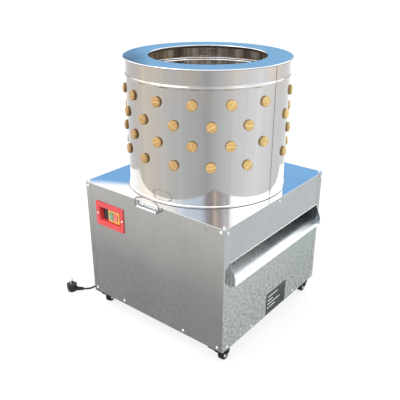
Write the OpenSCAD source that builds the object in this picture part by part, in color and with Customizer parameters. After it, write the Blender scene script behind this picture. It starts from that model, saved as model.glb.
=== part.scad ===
// Drum poultry plucker on a square cabinet with casters.
// Origin on the floor under the drum axis, +Z up, front face at -Y, chute at +X.

/* [Cabinet] */
// Width and depth of the square cabinet
box_w = 600; // [590:2:620]
// Height of the cabinet above the casters
box_h = 438; // [430:1:450]
// Sheet thickness of skins, deck and drum
sheet_t = 1.5; // [1.2:0.1:1.8]
// Outside radius of the sheet bends
bend_r = 5; // [4:0.5:6]
// Side of the square frame tube
tube = 25; // [22:1:25]

/* [Drum] */
// Outside radius of the drum wall
drum_r = 268; // [264:1:270]
// Height of the drum from the deck to the top of the ring
drum_h = 425; // [420:1:440]
// Outside radius of the top ring
ring_ro = 275.6; // [275:0.2:280]
// Radius of the mouth in the top ring
mouth_r = 193.4; // [190:0.2:200]
// Height of the swaged bead above the deck
bead_z = 370; // [360:1:380]

/* [Fingers] */
// Fingers in each row of the drum wall
finger_n = 14; // [10:1:14]
// Angle from one wall finger to the next
finger_pitch = 24.6; // [24:0.1:24.6]
// Length of a finger inside the wall
finger_len = 90; // [80:1:95]

/* [Chute] */
// Half width of the chute
chute_hw = 270; // [250:1:270]
// Height of the lip above the floor
lip_z = 316; // [310:1:320]
// Reach of the lip beyond the cabinet face
lip_out = 21; // [16:1:24]
// Top edge of the chute slot above the floor
slot_top = 387; // [380:1:390]

/* [Casters] */
// Overall height of a caster
caster_h = 70; // [70:1:72]
// Wheel radius
wheel_r = 25; // [24:0.5:25]
// Distance of the wheel axle behind the swivel axis
trail = 18; // [16:1:20]

/* [Drive] */
// Pitch radius of the driven pulley
big_r = 125; // [120:1:126]
// Pitch radius of the motor pulley
small_r = 30; // [28:1:32]
// Distance from the main shaft to the motor shaft
shaft_gap = 185; // [183:1:187]

/* [Hidden] */
$fn = 64;
hw = box_w/2;
z0 = caster_h;
z1 = z0 + box_h;
ds = z1 - sheet_t;
fi = hw - sheet_t - 0.293*(bend_r - sheet_t) - 0.1;
tc = fi - tube/2;
ti = fi - tube;
zt = z1 + drum_h;
drum_ri = drum_r - sheet_t;
seam = 25.3;
// wall finger rows, height above the deck, and start angles
row_z = [321, 257, 197, 132];
row_a = [-12.6, -25.0, -12.6, -25.0];
// chute floor: a shallow run inside, then a steeper lip, with a soft bend between them
lip_x = hw + lip_out;
run_a = 9;
lip_a = 33;
bend_x = hw - 1.5;
bend_z = lip_z + 0.3 + (lip_x - 1 - bend_x)*tan(lip_a);
tray_bend = 95;
function tray_z(x) = x < bend_x ? bend_z + (bend_x - x)*tan(run_a) : bend_z - (x - bend_x)*tan(lip_a);
// caster swivel axes, and how far each caster is turned: front left, front right, rear left, rear right
cx = 268;
cy = 262;
caster_a = [202, 186, 196, 188];
// plate on the rotor
plate_z = z1 + 13;
plate_r = 252;
// motor
mx = -shaft_gap;
beam_z = z0 + 70;
belt_z = z0 + 46;
// handle barrel
hb_y = hw + 8.5;
hb_z = z1 - 19;
// cord
cord_r = 3.5;
gland_y = 120;
gland_z = 120;
coil_c = [-396, 10];
drop_pts = [[-338, 120, 120], [-352, 120, 119.6], [-374, 114, 111], [-384, 93, 86], [-378, 66, 64], [-366, 43, 45], [-361.6, 10, 22.4]];
lead_pts = [[-354.5, 10, 5], [-355.5, -30, 3.6], [-363, -80, 3.6], [-378.5, -130, 3.6], [-393, -178, 3.6],
            [-393.8, -211, 3.7], [-388.6, -237.6, 4.6], [-396.8, -261.3, 8], [-405.7, -270.4, 10], [-412.2, -275.1, 10]];
plug_p = [-405.7, -270.4];
plug_a = 36;
plug_neck = 46;

function arc(c, r, a0, a1, n) = [for (i = [0:n]) [c[0] + r*cos(a0 + (a1-a0)*i/n), c[1] + r*sin(a0 + (a1-a0)*i/n)]];

// ---- frame ----
module tube_x(l, y, z) { translate([0, y, z]) rotate([0, 90, 0]) linear_extrude(l, center = true)
  difference() { square(tube, center = true); square(tube - 4, center = true); } }
module tube_y(l, x, z) { translate([x, 0, z]) rotate([90, 0, 0]) linear_extrude(l, center = true)
  difference() { square(tube, center = true); square(tube - 4, center = true); } }

// screws of one wall, seen with the wall at -Y: [across, height]
side_screws = [[-279, z0 + 14], [-138, z0 + 14], [138, z0 + 14], [279, z0 + 14], [-286, z1 - 12], [286, z1 - 12]];
chute_screws = [[-277, z0 + 13], [-138, z0 + 13], [138, z0 + 13], [277, z0 + 13], [-286, z1 - 14], [286, z1 - 14], [0, z1 - 14]];
module on_walls() {
  for (a = [0, 180]) rotate([0, 0, a]) for (s = side_screws) translate([s[0], -hw, s[1]]) rotate([90, 0, 0]) children();
  for (a = [90, 270]) rotate([0, 0, a]) for (s = chute_screws) translate([s[0], -hw, s[1]]) rotate([90, 0, 0]) children();
}
module on_deck() { for (i = [-1, 1], j = [-1, 1]) translate([i*289, j*289, z1]) children(); }
module screw_holes() { on_walls() translate([0, 0, -12]) cylinder(r = 2.2, h = 20);
  on_deck() translate([0, 0, -9]) cylinder(r = 2.2, h = 20); }
module bolt_holes() { for (i = [-1, 1], j = [-1, 1]) for (p = [-1, 1], q = [-1, 1])
  translate([i*cx + p*19, j*cy + q*28, z0 - 20]) cylinder(r = 3.3, h = 34); }
module rivet_holes() { for (a = [0, 180]) rotate([0, 0, a]) for (x = [-26, 26])
  translate([x, -hw + 9, z1 - 12]) rotate([90, 0, 0]) cylinder(r = 2.2, h = 14); }

module frame_rails() { color("gray") difference() {
  union() {
    for (z = [z0 + tube/2, ds - 0.1 - tube/2]) {
      for (s = [-1, 1]) tube_x(2*fi, s*tc, z);
      for (s = [-1, 1]) tube_y(2*ti - 0.2, s*tc, z);
    }
  }
  screw_holes(); bolt_holes(); rivet_holes();
} }
module corner_posts() { color("gray") for (i = [-1, 1], j = [-1, 1]) translate([i*tc, j*tc, z0 + tube])
  linear_extrude(ds - 0.1 - z0 - 2*tube) difference() { square(tube, center = true); square(tube - 4, center = true); } }
module drive_beams() { color("gray") {
  for (s = [-1, 1]) tube_y(2*ti - 0.2, s*tc, beam_z + tube/2);
  for (s = [-1, 1]) tube_x(2*ti - 0.2, s*75, beam_z + tube/2);
} }
module corner_gussets() { color("gray") difference() {
  for (i = [-1, 1], j = [-1, 1]) translate([i*(ti - 0.1) - (i > 0 ? 45 : 0), j*(ti - 0.1) - (j > 0 ? 75 : 0), z0]) cube([45, 75, 3]);
  bolt_holes();
} }

// ---- skins ----
module bend(x, y, qx, qy) { translate([x - qx*bend_r, y - qy*bend_r]) intersection() {
  difference() { circle(bend_r); circle(bend_r - sheet_t); }
  translate([qx > 0 ? 0 : -bend_r, qy > 0 ? 0 : -bend_r]) square(bend_r); } }
module front_skin() { color("silver") difference() {
  translate([0, 0, z0]) linear_extrude(ds - z0) union() {
    translate([-hw + seam, -hw]) square([2*hw - seam - bend_r, sheet_t]);
    translate([hw - sheet_t, -hw + bend_r]) square([sheet_t, 2*hw - seam - bend_r]);
    bend(hw, -hw, 1, -1);
  }
  screw_holes(); rivet_holes();
  translate([sw_x - 52, -hw - 5, sw_z - 27]) cube([104, 12, 54]);
  translate([hw - 6, -chute_hw - 2, lip_z + 8.5]) cube([12, 2*chute_hw + 4, slot_top - lip_z - 8.5]);
} }
module rear_skin() { color("silver") difference() {
  translate([0, 0, z0]) linear_extrude(ds - z0) union() {
    translate([-hw + bend_r, -hw]) square([seam - 0.6 - bend_r, sheet_t]);
    bend(-hw, -hw, -1, -1);
    translate([-hw, -hw + bend_r]) square([sheet_t, 2*hw - 2*bend_r]);
    bend(-hw, hw, -1, 1);
    translate([-hw + bend_r, hw - sheet_t]) square([2*hw - 2*bend_r, sheet_t]);
    bend(hw, hw, 1, 1);
    translate([hw - sheet_t, hw - seam + 0.6]) square([sheet_t, seam - 0.6 - bend_r]);
  }
  screw_holes(); rivet_holes();
  translate([-hw - 5, gland_y, gland_z]) rotate([0, 90, 0]) cylinder(r = 8.2, h = 12);
} }
module deck_plate() { color("gainsboro") difference() {
  translate([0, 0, ds]) linear_extrude(sheet_t) difference() {
    union() { square([2*hw, 2*hw - 2*bend_r], center = true); square([2*hw - 2*bend_r, 2*hw], center = true);
      for (i = [-1, 1], j = [-1, 1]) translate([i*(hw - bend_r), j*(hw - bend_r)]) circle(bend_r); }
    circle(drum_ri - 4);
  }
  screw_holes();
} }
module pan_screw(l) { rotate_extrude() polygon([[0, -l], [2, -l], [2, 0.02], [6, 0.02], [6, 1], [4.5, 1], [4.3, 2.3], [3.2, 3.4], [0, 3.8]]); }
module panel_screws() { color("white") { on_walls() pan_screw(10.5); on_deck() pan_screw(7.5); } }
module data_plate() { color("dimgray") translate([hw, -46, z0 + 4]) cube([1, 126, 83]); }

// ---- drum ----
module wall_fingers() { for (r = [0:3]) for (k = [0:finger_n - 1])
  rotate([0, 0, row_a[r] - finger_pitch*k]) translate([drum_r + 0.05, 0, z1 + row_z[r]]) rotate([0, -90, 0]) children(); }
module finger(neck) { rotate_extrude() polygon(concat(
  [[0, -10.5], [9, -10.5]], arc([12.5, -6.5], 4, -90, 0, 4), [[16.5, -1.5], [15.5, 0], [10.7, 0], [10.7, neck], [13.5, neck],
   [13.5, neck + 4], [11, neck + 7], [10, neck + 10], [7, finger_len - 8], [5.5, finger_len - 3], [2.6, finger_len - 0.6], [0, finger_len]])); }
module drum_shell() { color("silver") difference() {
  rotate_extrude() polygon(concat(
    [[drum_r, z1 + 2.1]], [for (p = arc([0, 0], 1, -90, 90, 6)) [drum_r + 3.5*p[0], z1 + bead_z + 6*p[1]]], [[drum_r, zt - 1.6]],
    [[drum_ri, zt - 1.6]], [for (p = arc([0, 0], 1, 90, -90, 6)) [drum_ri + 3.5*p[0], z1 + bead_z + 6*p[1]]], [[drum_ri, z1 + 2.1]]));
  wall_fingers() translate([0, 0, -4]) cylinder(r = 11, h = 12);
} }
module drum_ring() { color("lightsteelblue") rotate_extrude() polygon(concat(
  [[mouth_r, zt - 10]], arc([mouth_r + 2, zt - 2], 2, 180, 90, 3), arc([ring_ro - 2.2, zt - 2.2], 2.2, 90, 0, 3),
  [[ring_ro, zt - 7], [ring_ro - 1.4, zt - 7], [ring_ro - 1.4, zt - 2.4], [ring_ro - 2.4, zt - 1.5],
   [mouth_r + 2.4, zt - 1.5], [mouth_r + 1.4, zt - 2.4], [mouth_r + 1.4, zt - 10]])); }
module drum_flange() { color("silver") rotate_extrude() polygon([[drum_ri, z1], [drum_r + 10, z1], [drum_r + 11, z1 + 1], [drum_r + 10, z1 + 2], [drum_ri, z1 + 2]]); }
module drum_fingers() { color("burlywood") wall_fingers() finger(2.3); }

// ---- chute ----
tray_arc = let (k = tray_bend/cos((lip_a - run_a)/2), m = (lip_a + run_a)/2)
  [for (i = [0:6]) let (a = run_a + (lip_a - run_a)*i/6) [bend_x - k*sin(m) + tray_bend*sin(a), bend_z - k*cos(m) + tray_bend*cos(a)]];
module chute_tray() { color("silver") difference() {
  union() {
    rotate([90, 0, 0]) linear_extrude(2*chute_hw, center = true)
      polygon(concat([[-ti + 0.5, tray_z(-ti + 0.5)]], tray_arc, [[lip_x - 1, lip_z + 0.3], [lip_x - 1, lip_z - 2]],
        [for (i = [6:-1:0]) tray_arc[i] - [0, 2]], [[-ti + 0.5, tray_z(-ti + 0.5) - 2]]));
    translate([lip_x - 1.5, 0, lip_z - 0.8]) rotate([90, 0, 0]) cylinder(r = 2, h = 2*chute_hw, center = true);
    for (s = [-1, 1]) translate([0, s*(chute_hw - 0.75), 0]) rotate([90, 0, 0]) linear_extrude(1.5, center = true)
      polygon([[-ti + 0.5, tray_z(-ti + 0.5) - 1], [hw - 3, tray_z(hw - 3) - 1], [hw - 3, slot_top - 6], [hw - 40, slot_top + 20],
               [-ti + 60, z1 - 42], [-ti + 0.5, z1 - 42]]);
    intersection() {
      cylinder(r = 49, h = 440);
      rotate([90, 0, 0]) linear_extrude(120, center = true) polygon([[-60, tray_z(-60) - 1], [60, tray_z(60) - 1], [60, 430], [-60, 430]]);
    }
  }
  cylinder(r = 47, h = 600);
} }
module chute_cheeks() { color("silver") for (s = [-1, 1]) translate([0, s*(chute_hw + 0.8), 0]) rotate([90, 0, 0]) linear_extrude(1.5, center = true)
  polygon([[hw + 0.05, slot_top - 3], [hw + 1.5, slot_top - 3], [lip_x, lip_z + 24], [lip_x + 0.5, lip_z], [lip_x - 1, lip_z - 3], [hw + 0.05, lip_z - 12]]); }

// ---- switch ----
module rrect(w, h, r) { union() { square([w, h - 2*r], center = true); square([w - 2*r, h], center = true);
  for (i = [-1, 1], j = [-1, 1]) translate([i*(w/2 - r), j*(h/2 - r)]) circle(r, $fn = 32); } }
sw_x = -183.5;
sw_z = z0 + 335.5;
btn_x = [-180.5, -160];
sw_screw = [-57.5, 60];
module at_switch(y) { translate([sw_x, y, sw_z]) rotate([90, 0, 0]) children(); }
module switch_housing() { color("red") difference() {
  union() {
    at_switch(-hw - 0.02) translate([-0.8, 0, 0]) linear_extrude(2.4) rrect(133, 89.5, 3);
    at_switch(-hw - 2.4) translate([-0.8, 0, 0]) linear_extrude(1.1) rrect(131.4, 87.9, 2.5);
    at_switch(-hw + 20) linear_extrude(21) rrect(103, 53, 4);
  }
  at_switch(-hw + 18) linear_extrude(40) rrect(100, 50, 3);
  translate([-190, -hw + 10, sw_z]) rotate([-90, 0, 0]) cylinder(r = 9, h = 20);
  for (x = sw_screw) at_switch(-hw + 2) translate([x, 0, 0]) cylinder(r = 1.7, h = 20);
} }
module switch_screws() { color("white") for (x = sw_screw) at_switch(-hw - 3.5) translate([x, 0, 0])
  rotate_extrude() polygon([[0, -3.2], [1.6, -3.2], [1.6, 0.02], [4, 0.02], [3.8, 1.2], [2.5, 2], [0, 2.2]]); }
module switch_body() { color("black") difference() {
  at_switch(-hw + 17.95) translate([-0.5, 0, 0]) linear_extrude(9) rrect(82, 43, 4);
  for (x = btn_x) translate([x, -hw + 5, sw_z]) cube([20.6, 40, 30], center = true);
} }
module switch_bezel() { color("gold") difference() {
  at_switch(-hw + 8.95) translate([13.5, 0, 0]) linear_extrude(6) rrect(54, 44, 3);
  for (x = btn_x) translate([x, -hw, sw_z]) cube([19.2, 40, 28.2], center = true);
} }
module button(x) { translate([x, -hw + 1, sw_z]) rotate([-90, 0, 0]) { linear_extrude(10) rrect(18, 27, 2);
  translate([0, 0, -1.5]) linear_extrude(2) rrect(14, 23, 3); } }
module start_button() { color("seagreen") button(btn_x[0]); }
module stop_button() { color("crimson") button(btn_x[1]); }

// ---- handles ----
module handle_plate() { difference() {
  union() {
    translate([-40, -hw - 1.5, hb_z - 4.5]) cube([80, 1.48, 22]);
    translate([-42, -hb_y, hb_z - 4.5]) cube([84, hb_y - hw - 0.02, 1.5]);
    translate([0, -hb_y, hb_z]) rotate([0, 90, 0]) cylinder(r = 4.5, h = 84, center = true);
  }
  translate([0, -hb_y, hb_z]) rotate([0, 90, 0]) cylinder(r = 2.56, h = 100, center = true);
  rivet_holes();
} }
module handle_plates() { color("silver") { handle_plate(); rotate([0, 0, 180]) handle_plate(); } }
module handle_rivets() { color("white") for (a = [0, 180]) rotate([0, 0, a]) for (x = [-26, 26]) translate([x, -hw - 1.5, z1 - 12]) rotate([90, 0, 0])
  rotate_extrude() polygon([[0, -8], [2, -8], [2, 0.02], [4.2, 0.02], [3.8, 1.1], [2.4, 1.9], [0, 2.2]]); }
wire_r = 2.5;
arch_r = 97.5;
arch_top = 40;
leg_x = 51;
corner_r = 9;
arch_a = asin((leg_x - corner_r)/(arch_r - corner_r));
arch_zc = arch_top - arch_r;
corner_z = arch_zc + (arch_r - corner_r)*cos(arch_a);
module wire_arc(r, a0, a1) { rotate([0, 0, a0]) rotate_extrude(angle = a1 - a0) translate([r, 0]) circle(r = wire_r, $fn = 32); }
module bail() { translate([0, -hb_y, hb_z]) rotate([90, 0, 0]) {
  translate([0, arch_zc, 0]) wire_arc(arch_r, 90 - arch_a, 90 + arch_a);
  translate([leg_x - corner_r, corner_z, 0]) wire_arc(corner_r, 0, 90 - arch_a);
  translate([-leg_x + corner_r, corner_z, 0]) wire_arc(corner_r, 90 + arch_a, 180);
  for (s = [-1, 1]) {
    translate([s*leg_x, 6, 0]) rotate([-90, 0, 0]) cylinder(r = wire_r, h = corner_z - 6);
    translate([s > 0 ? 28 : -(leg_x - 6), 0, 0]) rotate([0, 90, 0]) cylinder(r = wire_r, h = leg_x - 6 - 28);
  }
  translate([leg_x - 6, 6, 0]) wire_arc(6, -90, 0);
  translate([-leg_x + 6, 6, 0]) wire_arc(6, 180, 270);
} }
module front_bail() { color("lightgray") bail(); }
module rear_bail() { color("lightgray") rotate([0, 0, 180]) bail(); }

// ---- rotor and bearings ----
module bearing_housing() { color("slategray") difference() {
  union() {
    translate([-65, -95, beam_z + tube]) cube([130, 190, 12]);
    translate([0, 0, beam_z + tube]) cylinder(r = 44, h = z1 - 30 - beam_z - tube);
  }
  translate([0, 0, beam_z + tube - 1]) cylinder(r = 31.05, h = 17);
  translate([0, 0, z1 - 46]) cylinder(r = 31.05, h = 40);
  cylinder(r = 21, h = z1);
} }
module shaft_bearings() { color("lightgray") for (z = [beam_z + tube, z1 - 46]) translate([0, 0, z])
  rotate_extrude() polygon([[15.05, 0], [19, 0], [19.6, 0.8], [26.4, 0.8], [27, 0], [31, 0], [31, 16], [27, 16], [26.4, 15.2], [19.6, 15.2], [19, 16], [15.05, 16]]); }
module main_shaft() { color("silver") translate([0, 0, belt_z - 18]) cylinder(r = 15, h = plate_z + 3 - belt_z + 18); }
module plate_hub() { color("slategray") difference() {
  union() { translate([0, 0, plate_z - 8]) cylinder(r = 70, h = 8); translate([0, 0, z1 - 24]) cylinder(r = 28, h = plate_z - z1 + 24); }
  cylinder(r = 15.05, h = 900);
} }
module hub_cap() { color("silver") translate([0, 0, plate_z + 3.02]) rotate_extrude() polygon(concat([[0, 0], [62, 0], [62, 4]], arc([0, -60], 84, 50, 90, 6))); }
module plate_spots() { for (k = [0:7]) rotate([0, 0, 45*k]) translate([112, 0, plate_z]) children();
  for (k = [0:13]) rotate([0, 0, 360/14*k + 9]) translate([205, 0, plate_z]) children(); }
module feather_plate() { color("silver") difference() {
  translate([0, 0, plate_z]) cylinder(r = plate_r, h = 3);
  plate_spots() translate([0, 0, -5]) cylinder(r = 11, h = 20);
  translate([0, 0, plate_z - 5]) cylinder(r = 15.05, h = 20);
} }
module plate_fingers() { color("burlywood") plate_spots() translate([0, 0, -0.05]) finger(3.15); }

// ---- belt drive and motor ----
module pulley(rp) { rotate_extrude() polygon([[0, -11], [rp + 6, -11], [rp + 6, -7.2], [rp - 5.2, -7.2], [rp - 5.2, 7.2], [rp + 6, 7.2], [rp + 6, 11], [0, 11]]); }
module driven_pulley() { color("dimgray") difference() {
  union() { translate([0, 0, belt_z]) pulley(big_r); translate([0, 0, belt_z - 16]) cylinder(r = 34, h = 32); }
  cylinder(r = 15.05, h = 900);
  for (k = [0:4]) rotate([0, 0, 72*k]) translate([76, 0, 0]) cylinder(r = 26, h = 400);
} }
module motor_pulley() { color("dimgray") translate([mx, 0, 0]) difference() { translate([0, 0, belt_z]) pulley(small_r); cylinder(r = 12.05, h = 900); } }
module loop2d(a, b) { n = -(a - b)/shaft_gap; m = sqrt(1 - n*n);
  union() { circle(a); translate([mx, 0]) circle(b); polygon([[a*n, a*m], [mx + b*n, b*m], [mx + b*n, -b*m], [a*n, -a*m]]); } }
module drive_belt() { color("black") translate([0, 0, belt_z - 6.5]) linear_extrude(13) difference() { loop2d(big_r + 4.5, small_r + 4.5); loop2d(big_r - 4.5, small_r - 4.5); } }
mp_z = beam_z + tube;
module motor_plate() { color("gray") difference() { translate([mx - 85, -100, mp_z]) cube([175, 200, 6]); translate([mx, 0, 0]) cylinder(r = 40, h = 400);
  translate([-68, -100, mp_z - 1]) cube([140, 200, 20]); } }
module motor_body() { color("steelblue") translate([mx, 0, mp_z + 6]) difference() {
  union() { cylinder(r = 84, h = 12); cylinder(r = 70, h = 165); for (k = [0:15]) rotate([0, 0, 22.5*k + 11.25]) translate([60, -1.5, 20]) cube([17, 3, 140]); }
  translate([0, 0, -1]) cylinder(r = 12.06, h = 200);
} }
module motor_fan_cover() { color("steelblue") translate([mx, 0, mp_z + 171.05]) difference() { cylinder(r = 77, h = 42); translate([0, 0, -1]) cylinder(r = 75.5, h = 41.5);
  for (k = [0:7]) rotate([0, 0, 45*k]) translate([24, -3, 30]) cube([36, 6, 20]); } }
module motor_terminal_box() { color("steelblue") translate([mx, 0, mp_z + 90]) difference() { translate([-40, -125, 0]) cube([80, 60, 55]); translate([0, 0, -50]) cylinder(r = 78, h = 200); } }
module motor_shaft() { color("silver") translate([mx, 0, belt_z - 14]) cylinder(r = 12, h = mp_z + 171 + 28 - belt_z + 14); }
module motor_fan() { color("black") translate([mx, 0, mp_z + 176]) difference() {
  union() { cylinder(r = 20, h = 22); cylinder(r = 66, h = 3); for (k = [0:5]) rotate([0, 0, 60*k]) translate([15, -1, 0]) cube([50, 2, 24]); }
  translate([0, 0, -5]) cylinder(r = 12.05, h = 60); } }

// ---- casters ----
module at_caster(i, j) { translate([i*cx, j*cy, 0]) rotate([0, 0, caster_a[(i + 1)/2 + j + 1]]) children(); }
module all_corners() { for (i = [-1, 1], j = [-1, 1]) translate([i*cx, j*cy, 0]) children(); }
module caster_plates() { color("dimgray") all_corners() difference() {
  union() { translate([-27, -38, z0 - 4]) cube([54, 76, 3.98]); translate([0, 0, z0 - 8]) cylinder(r = 25, h = 5);
    translate([0, 0, z0 - 14]) cylinder(r = 5, h = 8); translate([0, 0, z0 - 17]) cylinder(r = 8, h = 4); }
  for (p = [-1, 1], q = [-1, 1]) translate([p*19, q*28, z0 - 10]) cylinder(r = 3.3, h = 20);
} }
module caster_bolts() { color("silver") all_corners() for (p = [-1, 1], q = [-1, 1]) translate([p*19, q*28, z0 - 4.02]) {
  translate([0, 0, -4]) cylinder(r = 5.6, h = 4, $fn = 6); translate([0, 0, -1]) cylinder(r = 3, h = 14); } }
fork_z = z0 - 12.8;
module caster_fork() { color("black") difference() {
  union() {
    translate([0, 0, fork_z]) cylinder(r = 27, h = 4.2);
    translate([0, 0, fork_z - 5.5]) difference() { cylinder(r = 27, h = 6); translate([0, 0, -1]) cylinder(r = 24.5, h = 8); }
    for (s = [-1, 1]) translate([s*13.6, 0, 0]) rotate([90, 0, 90]) linear_extrude(2.2, center = true) union() {
      polygon([[20, fork_z + 4.2], [-20, fork_z + 4.2], [-trail - 7.5, wheel_r + 1], [-trail + 6.5, wheel_r - 4.5], [18, fork_z - 5]]);
      translate([-trail, wheel_r]) circle(8); }
  }
  translate([0, 0, fork_z - 5]) cylinder(r = 5.06, h = 20);
  translate([0, -trail, wheel_r]) rotate([0, 90, 0]) cylinder(r = 4.05, h = 60, center = true);
} }
module caster_axle() { color("white") translate([0, -trail, wheel_r]) rotate([0, 90, 0]) {
  cylinder(r = 4, h = 38, center = true);
  translate([0, 0, 14.72]) cylinder(r = 6.6, h = 5, $fn = 6);
  translate([0, 0, -18.72]) cylinder(r = 6.6, h = 4, $fn = 6); } }
module caster_wheel() { color("darkslategray") translate([0, -trail, wheel_r]) rotate([0, 90, 0]) rotate_extrude()
  polygon([[4.06, -11], [9, -11], [9.5, -8], [15.5, -8], [16, -10], [23, -10], [wheel_r, -7], [wheel_r, 7], [23, 10], [16, 10], [15.5, 8], [9.5, 8], [9, 11], [4.06, 11]]); }
module caster_fork_fl() { at_caster(-1, -1) caster_fork(); }
module caster_fork_fr() { at_caster(1, -1) caster_fork(); }
module caster_fork_rl() { at_caster(-1, 1) caster_fork(); }
module caster_fork_rr() { at_caster(1, 1) caster_fork(); }
module caster_axle_fl() { at_caster(-1, -1) caster_axle(); }
module caster_axle_fr() { at_caster(1, -1) caster_axle(); }
module caster_axle_rl() { at_caster(-1, 1) caster_axle(); }
module caster_axle_rr() { at_caster(1, 1) caster_axle(); }
module caster_wheel_fl() { at_caster(-1, -1) caster_wheel(); }
module caster_wheel_fr() { at_caster(1, -1) caster_wheel(); }
module caster_wheel_rl() { at_caster(-1, 1) caster_wheel(); }
module caster_wheel_rr() { at_caster(1, 1) caster_wheel(); }

// ---- mains lead ----
function unit(v) = v/norm(v);
// smooth route through the points
function cr(p0, p1, p2, p3, t) = 0.5*((2*p1) + (p2 - p0)*t + (2*p0 - 5*p1 + 4*p2 - p3)*t*t + (3*p1 - p0 - 3*p2 + p3)*t*t*t);
function route(p, m) = let (n = len(p)) concat([for (i = [0:n - 2]) for (k = [0:m - 1])
  cr(p[max(i - 1, 0)], p[i], p[i + 1], p[min(i + 2, n - 1)], k/m)], [p[n - 1]]);
module sweep(pts, r, sides) {
  n = len(pts);
  tg = [for (i = [0:n - 1]) unit(pts[min(i + 1, n - 1)] - pts[max(i - 1, 0)])];
  ring = [for (i = [0:n - 1]) let (t = tg[i], u = unit(cross(abs(t[2]) > 0.9 ? [1, 0, 0] : [0, 0, 1], t)), v = cross(t, u))
    [for (k = [0:sides - 1]) pts[i] + r*(cos(360*k/sides)*u + sin(360*k/sides)*v)]];
  polyhedron([for (q = ring) each q], concat([[for (k = [0:sides - 1]) k]],
    [for (i = [0:n - 2]) for (k = [0:sides - 1]) [i*sides + k, (i + 1)*sides + k, (i + 1)*sides + (k + 1)%sides, i*sides + (k + 1)%sides]],
    [[for (k = [sides - 1:-1:0]) (n - 1)*sides + k]]));
}
module cord_gland() { color("black") translate([-hw, gland_y, gland_z]) rotate([0, -90, 0]) union() {
  translate([0, 0, -10]) cylinder(r = 8, h = 12);
  translate([0, 0, -6]) cylinder(r = 12.5, h = 4, $fn = 6);
  translate([0, 0, 0.05]) cylinder(r = 13, h = 8, $fn = 6);
  translate([0, 0, 8]) cylinder(r1 = 11, r2 = 9, h = 12);
  translate([0, 0, 20]) cylinder(r1 = 6.5, r2 = 4.4, h = 25);
} }
module cord_drop() { color("black") sweep(route(drop_pts, 3), cord_r, 10); }
module cord_lead() { color("black") sweep(route(lead_pts, 3), cord_r, 10); }
module cord_coil() { color("black") translate([coil_c[0], coil_c[1], 0]) rotate_extrude() polygon([[30.8, 2], [32.8, 0], [43, 0], [45, 2], [45, 21], [43, 23], [32.8, 23], [30.8, 21]]); }
module mains_plug() { color("black") translate([plug_p[0], plug_p[1], 0]) rotate([0, 0, plug_a]) translate([-plug_neck, 0, 0]) {
  rotate_extrude() polygon([[0, 0], [14, 0], [17, 1.5], [18.5, 5], [19, 14], [20, 18], [20, 30], [19, 31], [0, 31]]);
  translate([10, 0, 10]) rotate([0, 90, 0]) cylinder(r1 = 9, r2 = 6, h = plug_neck - 10);
  for (s = [-1, 1]) translate([0, s*9.5, 30]) { cylinder(r = 2.4, h = 18.5); translate([0, 0, 18.5]) cylinder(r1 = 2.4, r2 = 1.4, h = 1.5); }
} }

frame_rails();
corner_posts();
drive_beams();
corner_gussets();
front_skin();
rear_skin();
deck_plate();
panel_screws();
data_plate();
drum_shell();
drum_ring();
drum_flange();
drum_fingers();
chute_tray();
chute_cheeks();
switch_housing();
switch_screws();
switch_body();
switch_bezel();
start_button();
stop_button();
handle_plates();
handle_rivets();
front_bail();
rear_bail();
bearing_housing();
shaft_bearings();
main_shaft();
plate_hub();
hub_cap();
feather_plate();
plate_fingers();
driven_pulley();
drive_belt();
motor_plate();
motor_body();
motor_fan_cover();
motor_terminal_box();
motor_shaft();
motor_fan();
motor_pulley();
caster_plates();
caster_bolts();
caster_fork_fl();
caster_fork_fr();
caster_fork_rl();
caster_fork_rr();
caster_axle_fl();
caster_axle_fr();
caster_axle_rl();
caster_axle_rr();
caster_wheel_fl();
caster_wheel_fr();
caster_wheel_rl();
caster_wheel_rr();
cord_gland();
cord_drop();
cord_coil();
cord_lead();
mains_plug();
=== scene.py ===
import bpy
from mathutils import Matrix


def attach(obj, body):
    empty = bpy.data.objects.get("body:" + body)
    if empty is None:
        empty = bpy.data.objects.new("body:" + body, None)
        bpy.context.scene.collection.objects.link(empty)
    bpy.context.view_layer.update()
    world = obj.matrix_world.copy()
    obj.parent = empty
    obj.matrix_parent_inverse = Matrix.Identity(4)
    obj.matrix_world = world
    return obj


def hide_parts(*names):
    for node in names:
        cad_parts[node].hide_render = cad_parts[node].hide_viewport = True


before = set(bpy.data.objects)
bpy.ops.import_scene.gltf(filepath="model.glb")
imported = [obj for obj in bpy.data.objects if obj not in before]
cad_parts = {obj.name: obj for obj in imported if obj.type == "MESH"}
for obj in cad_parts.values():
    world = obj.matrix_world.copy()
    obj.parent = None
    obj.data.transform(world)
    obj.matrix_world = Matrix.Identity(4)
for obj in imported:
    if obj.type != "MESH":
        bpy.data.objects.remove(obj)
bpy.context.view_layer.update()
import bpy, math, random
from mathutils import Vector, Matrix

scene = bpy.context.scene
MM = 0.001
random.seed(7)


# ---------------------------------------------------------------- camera
def set_camera():
    az, el, roll = math.radians(38.437), math.radians(23.977), math.radians(0.195)
    back = Vector((math.sin(az)*math.cos(el), -math.cos(az)*math.cos(el), math.sin(el)))
    right = (-back).cross(Vector((0, 0, 1))).normalized()
    up = right.cross(-back)
    c, s = math.cos(roll), math.sin(roll)
    x, y = c*right + s*up, -s*right + c*up
    cam = bpy.data.cameras.new("camera")
    cam.sensor_width = 36.0
    cam.lens = 549.238/400.0*36.0
    cam.clip_start, cam.clip_end = 0.05, 200.0
    ob = bpy.data.objects.new("camera", cam)
    scene.collection.objects.link(ob)
    m = Matrix((x, y, back)).transposed().to_4x4()
    m.translation = Vector((1.10924, -1.43606, 1.22229))
    ob.matrix_world = m
    scene.camera = ob


set_camera()
scene.view_settings.view_transform = "Standard"
scene.view_settings.look = "None"


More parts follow.
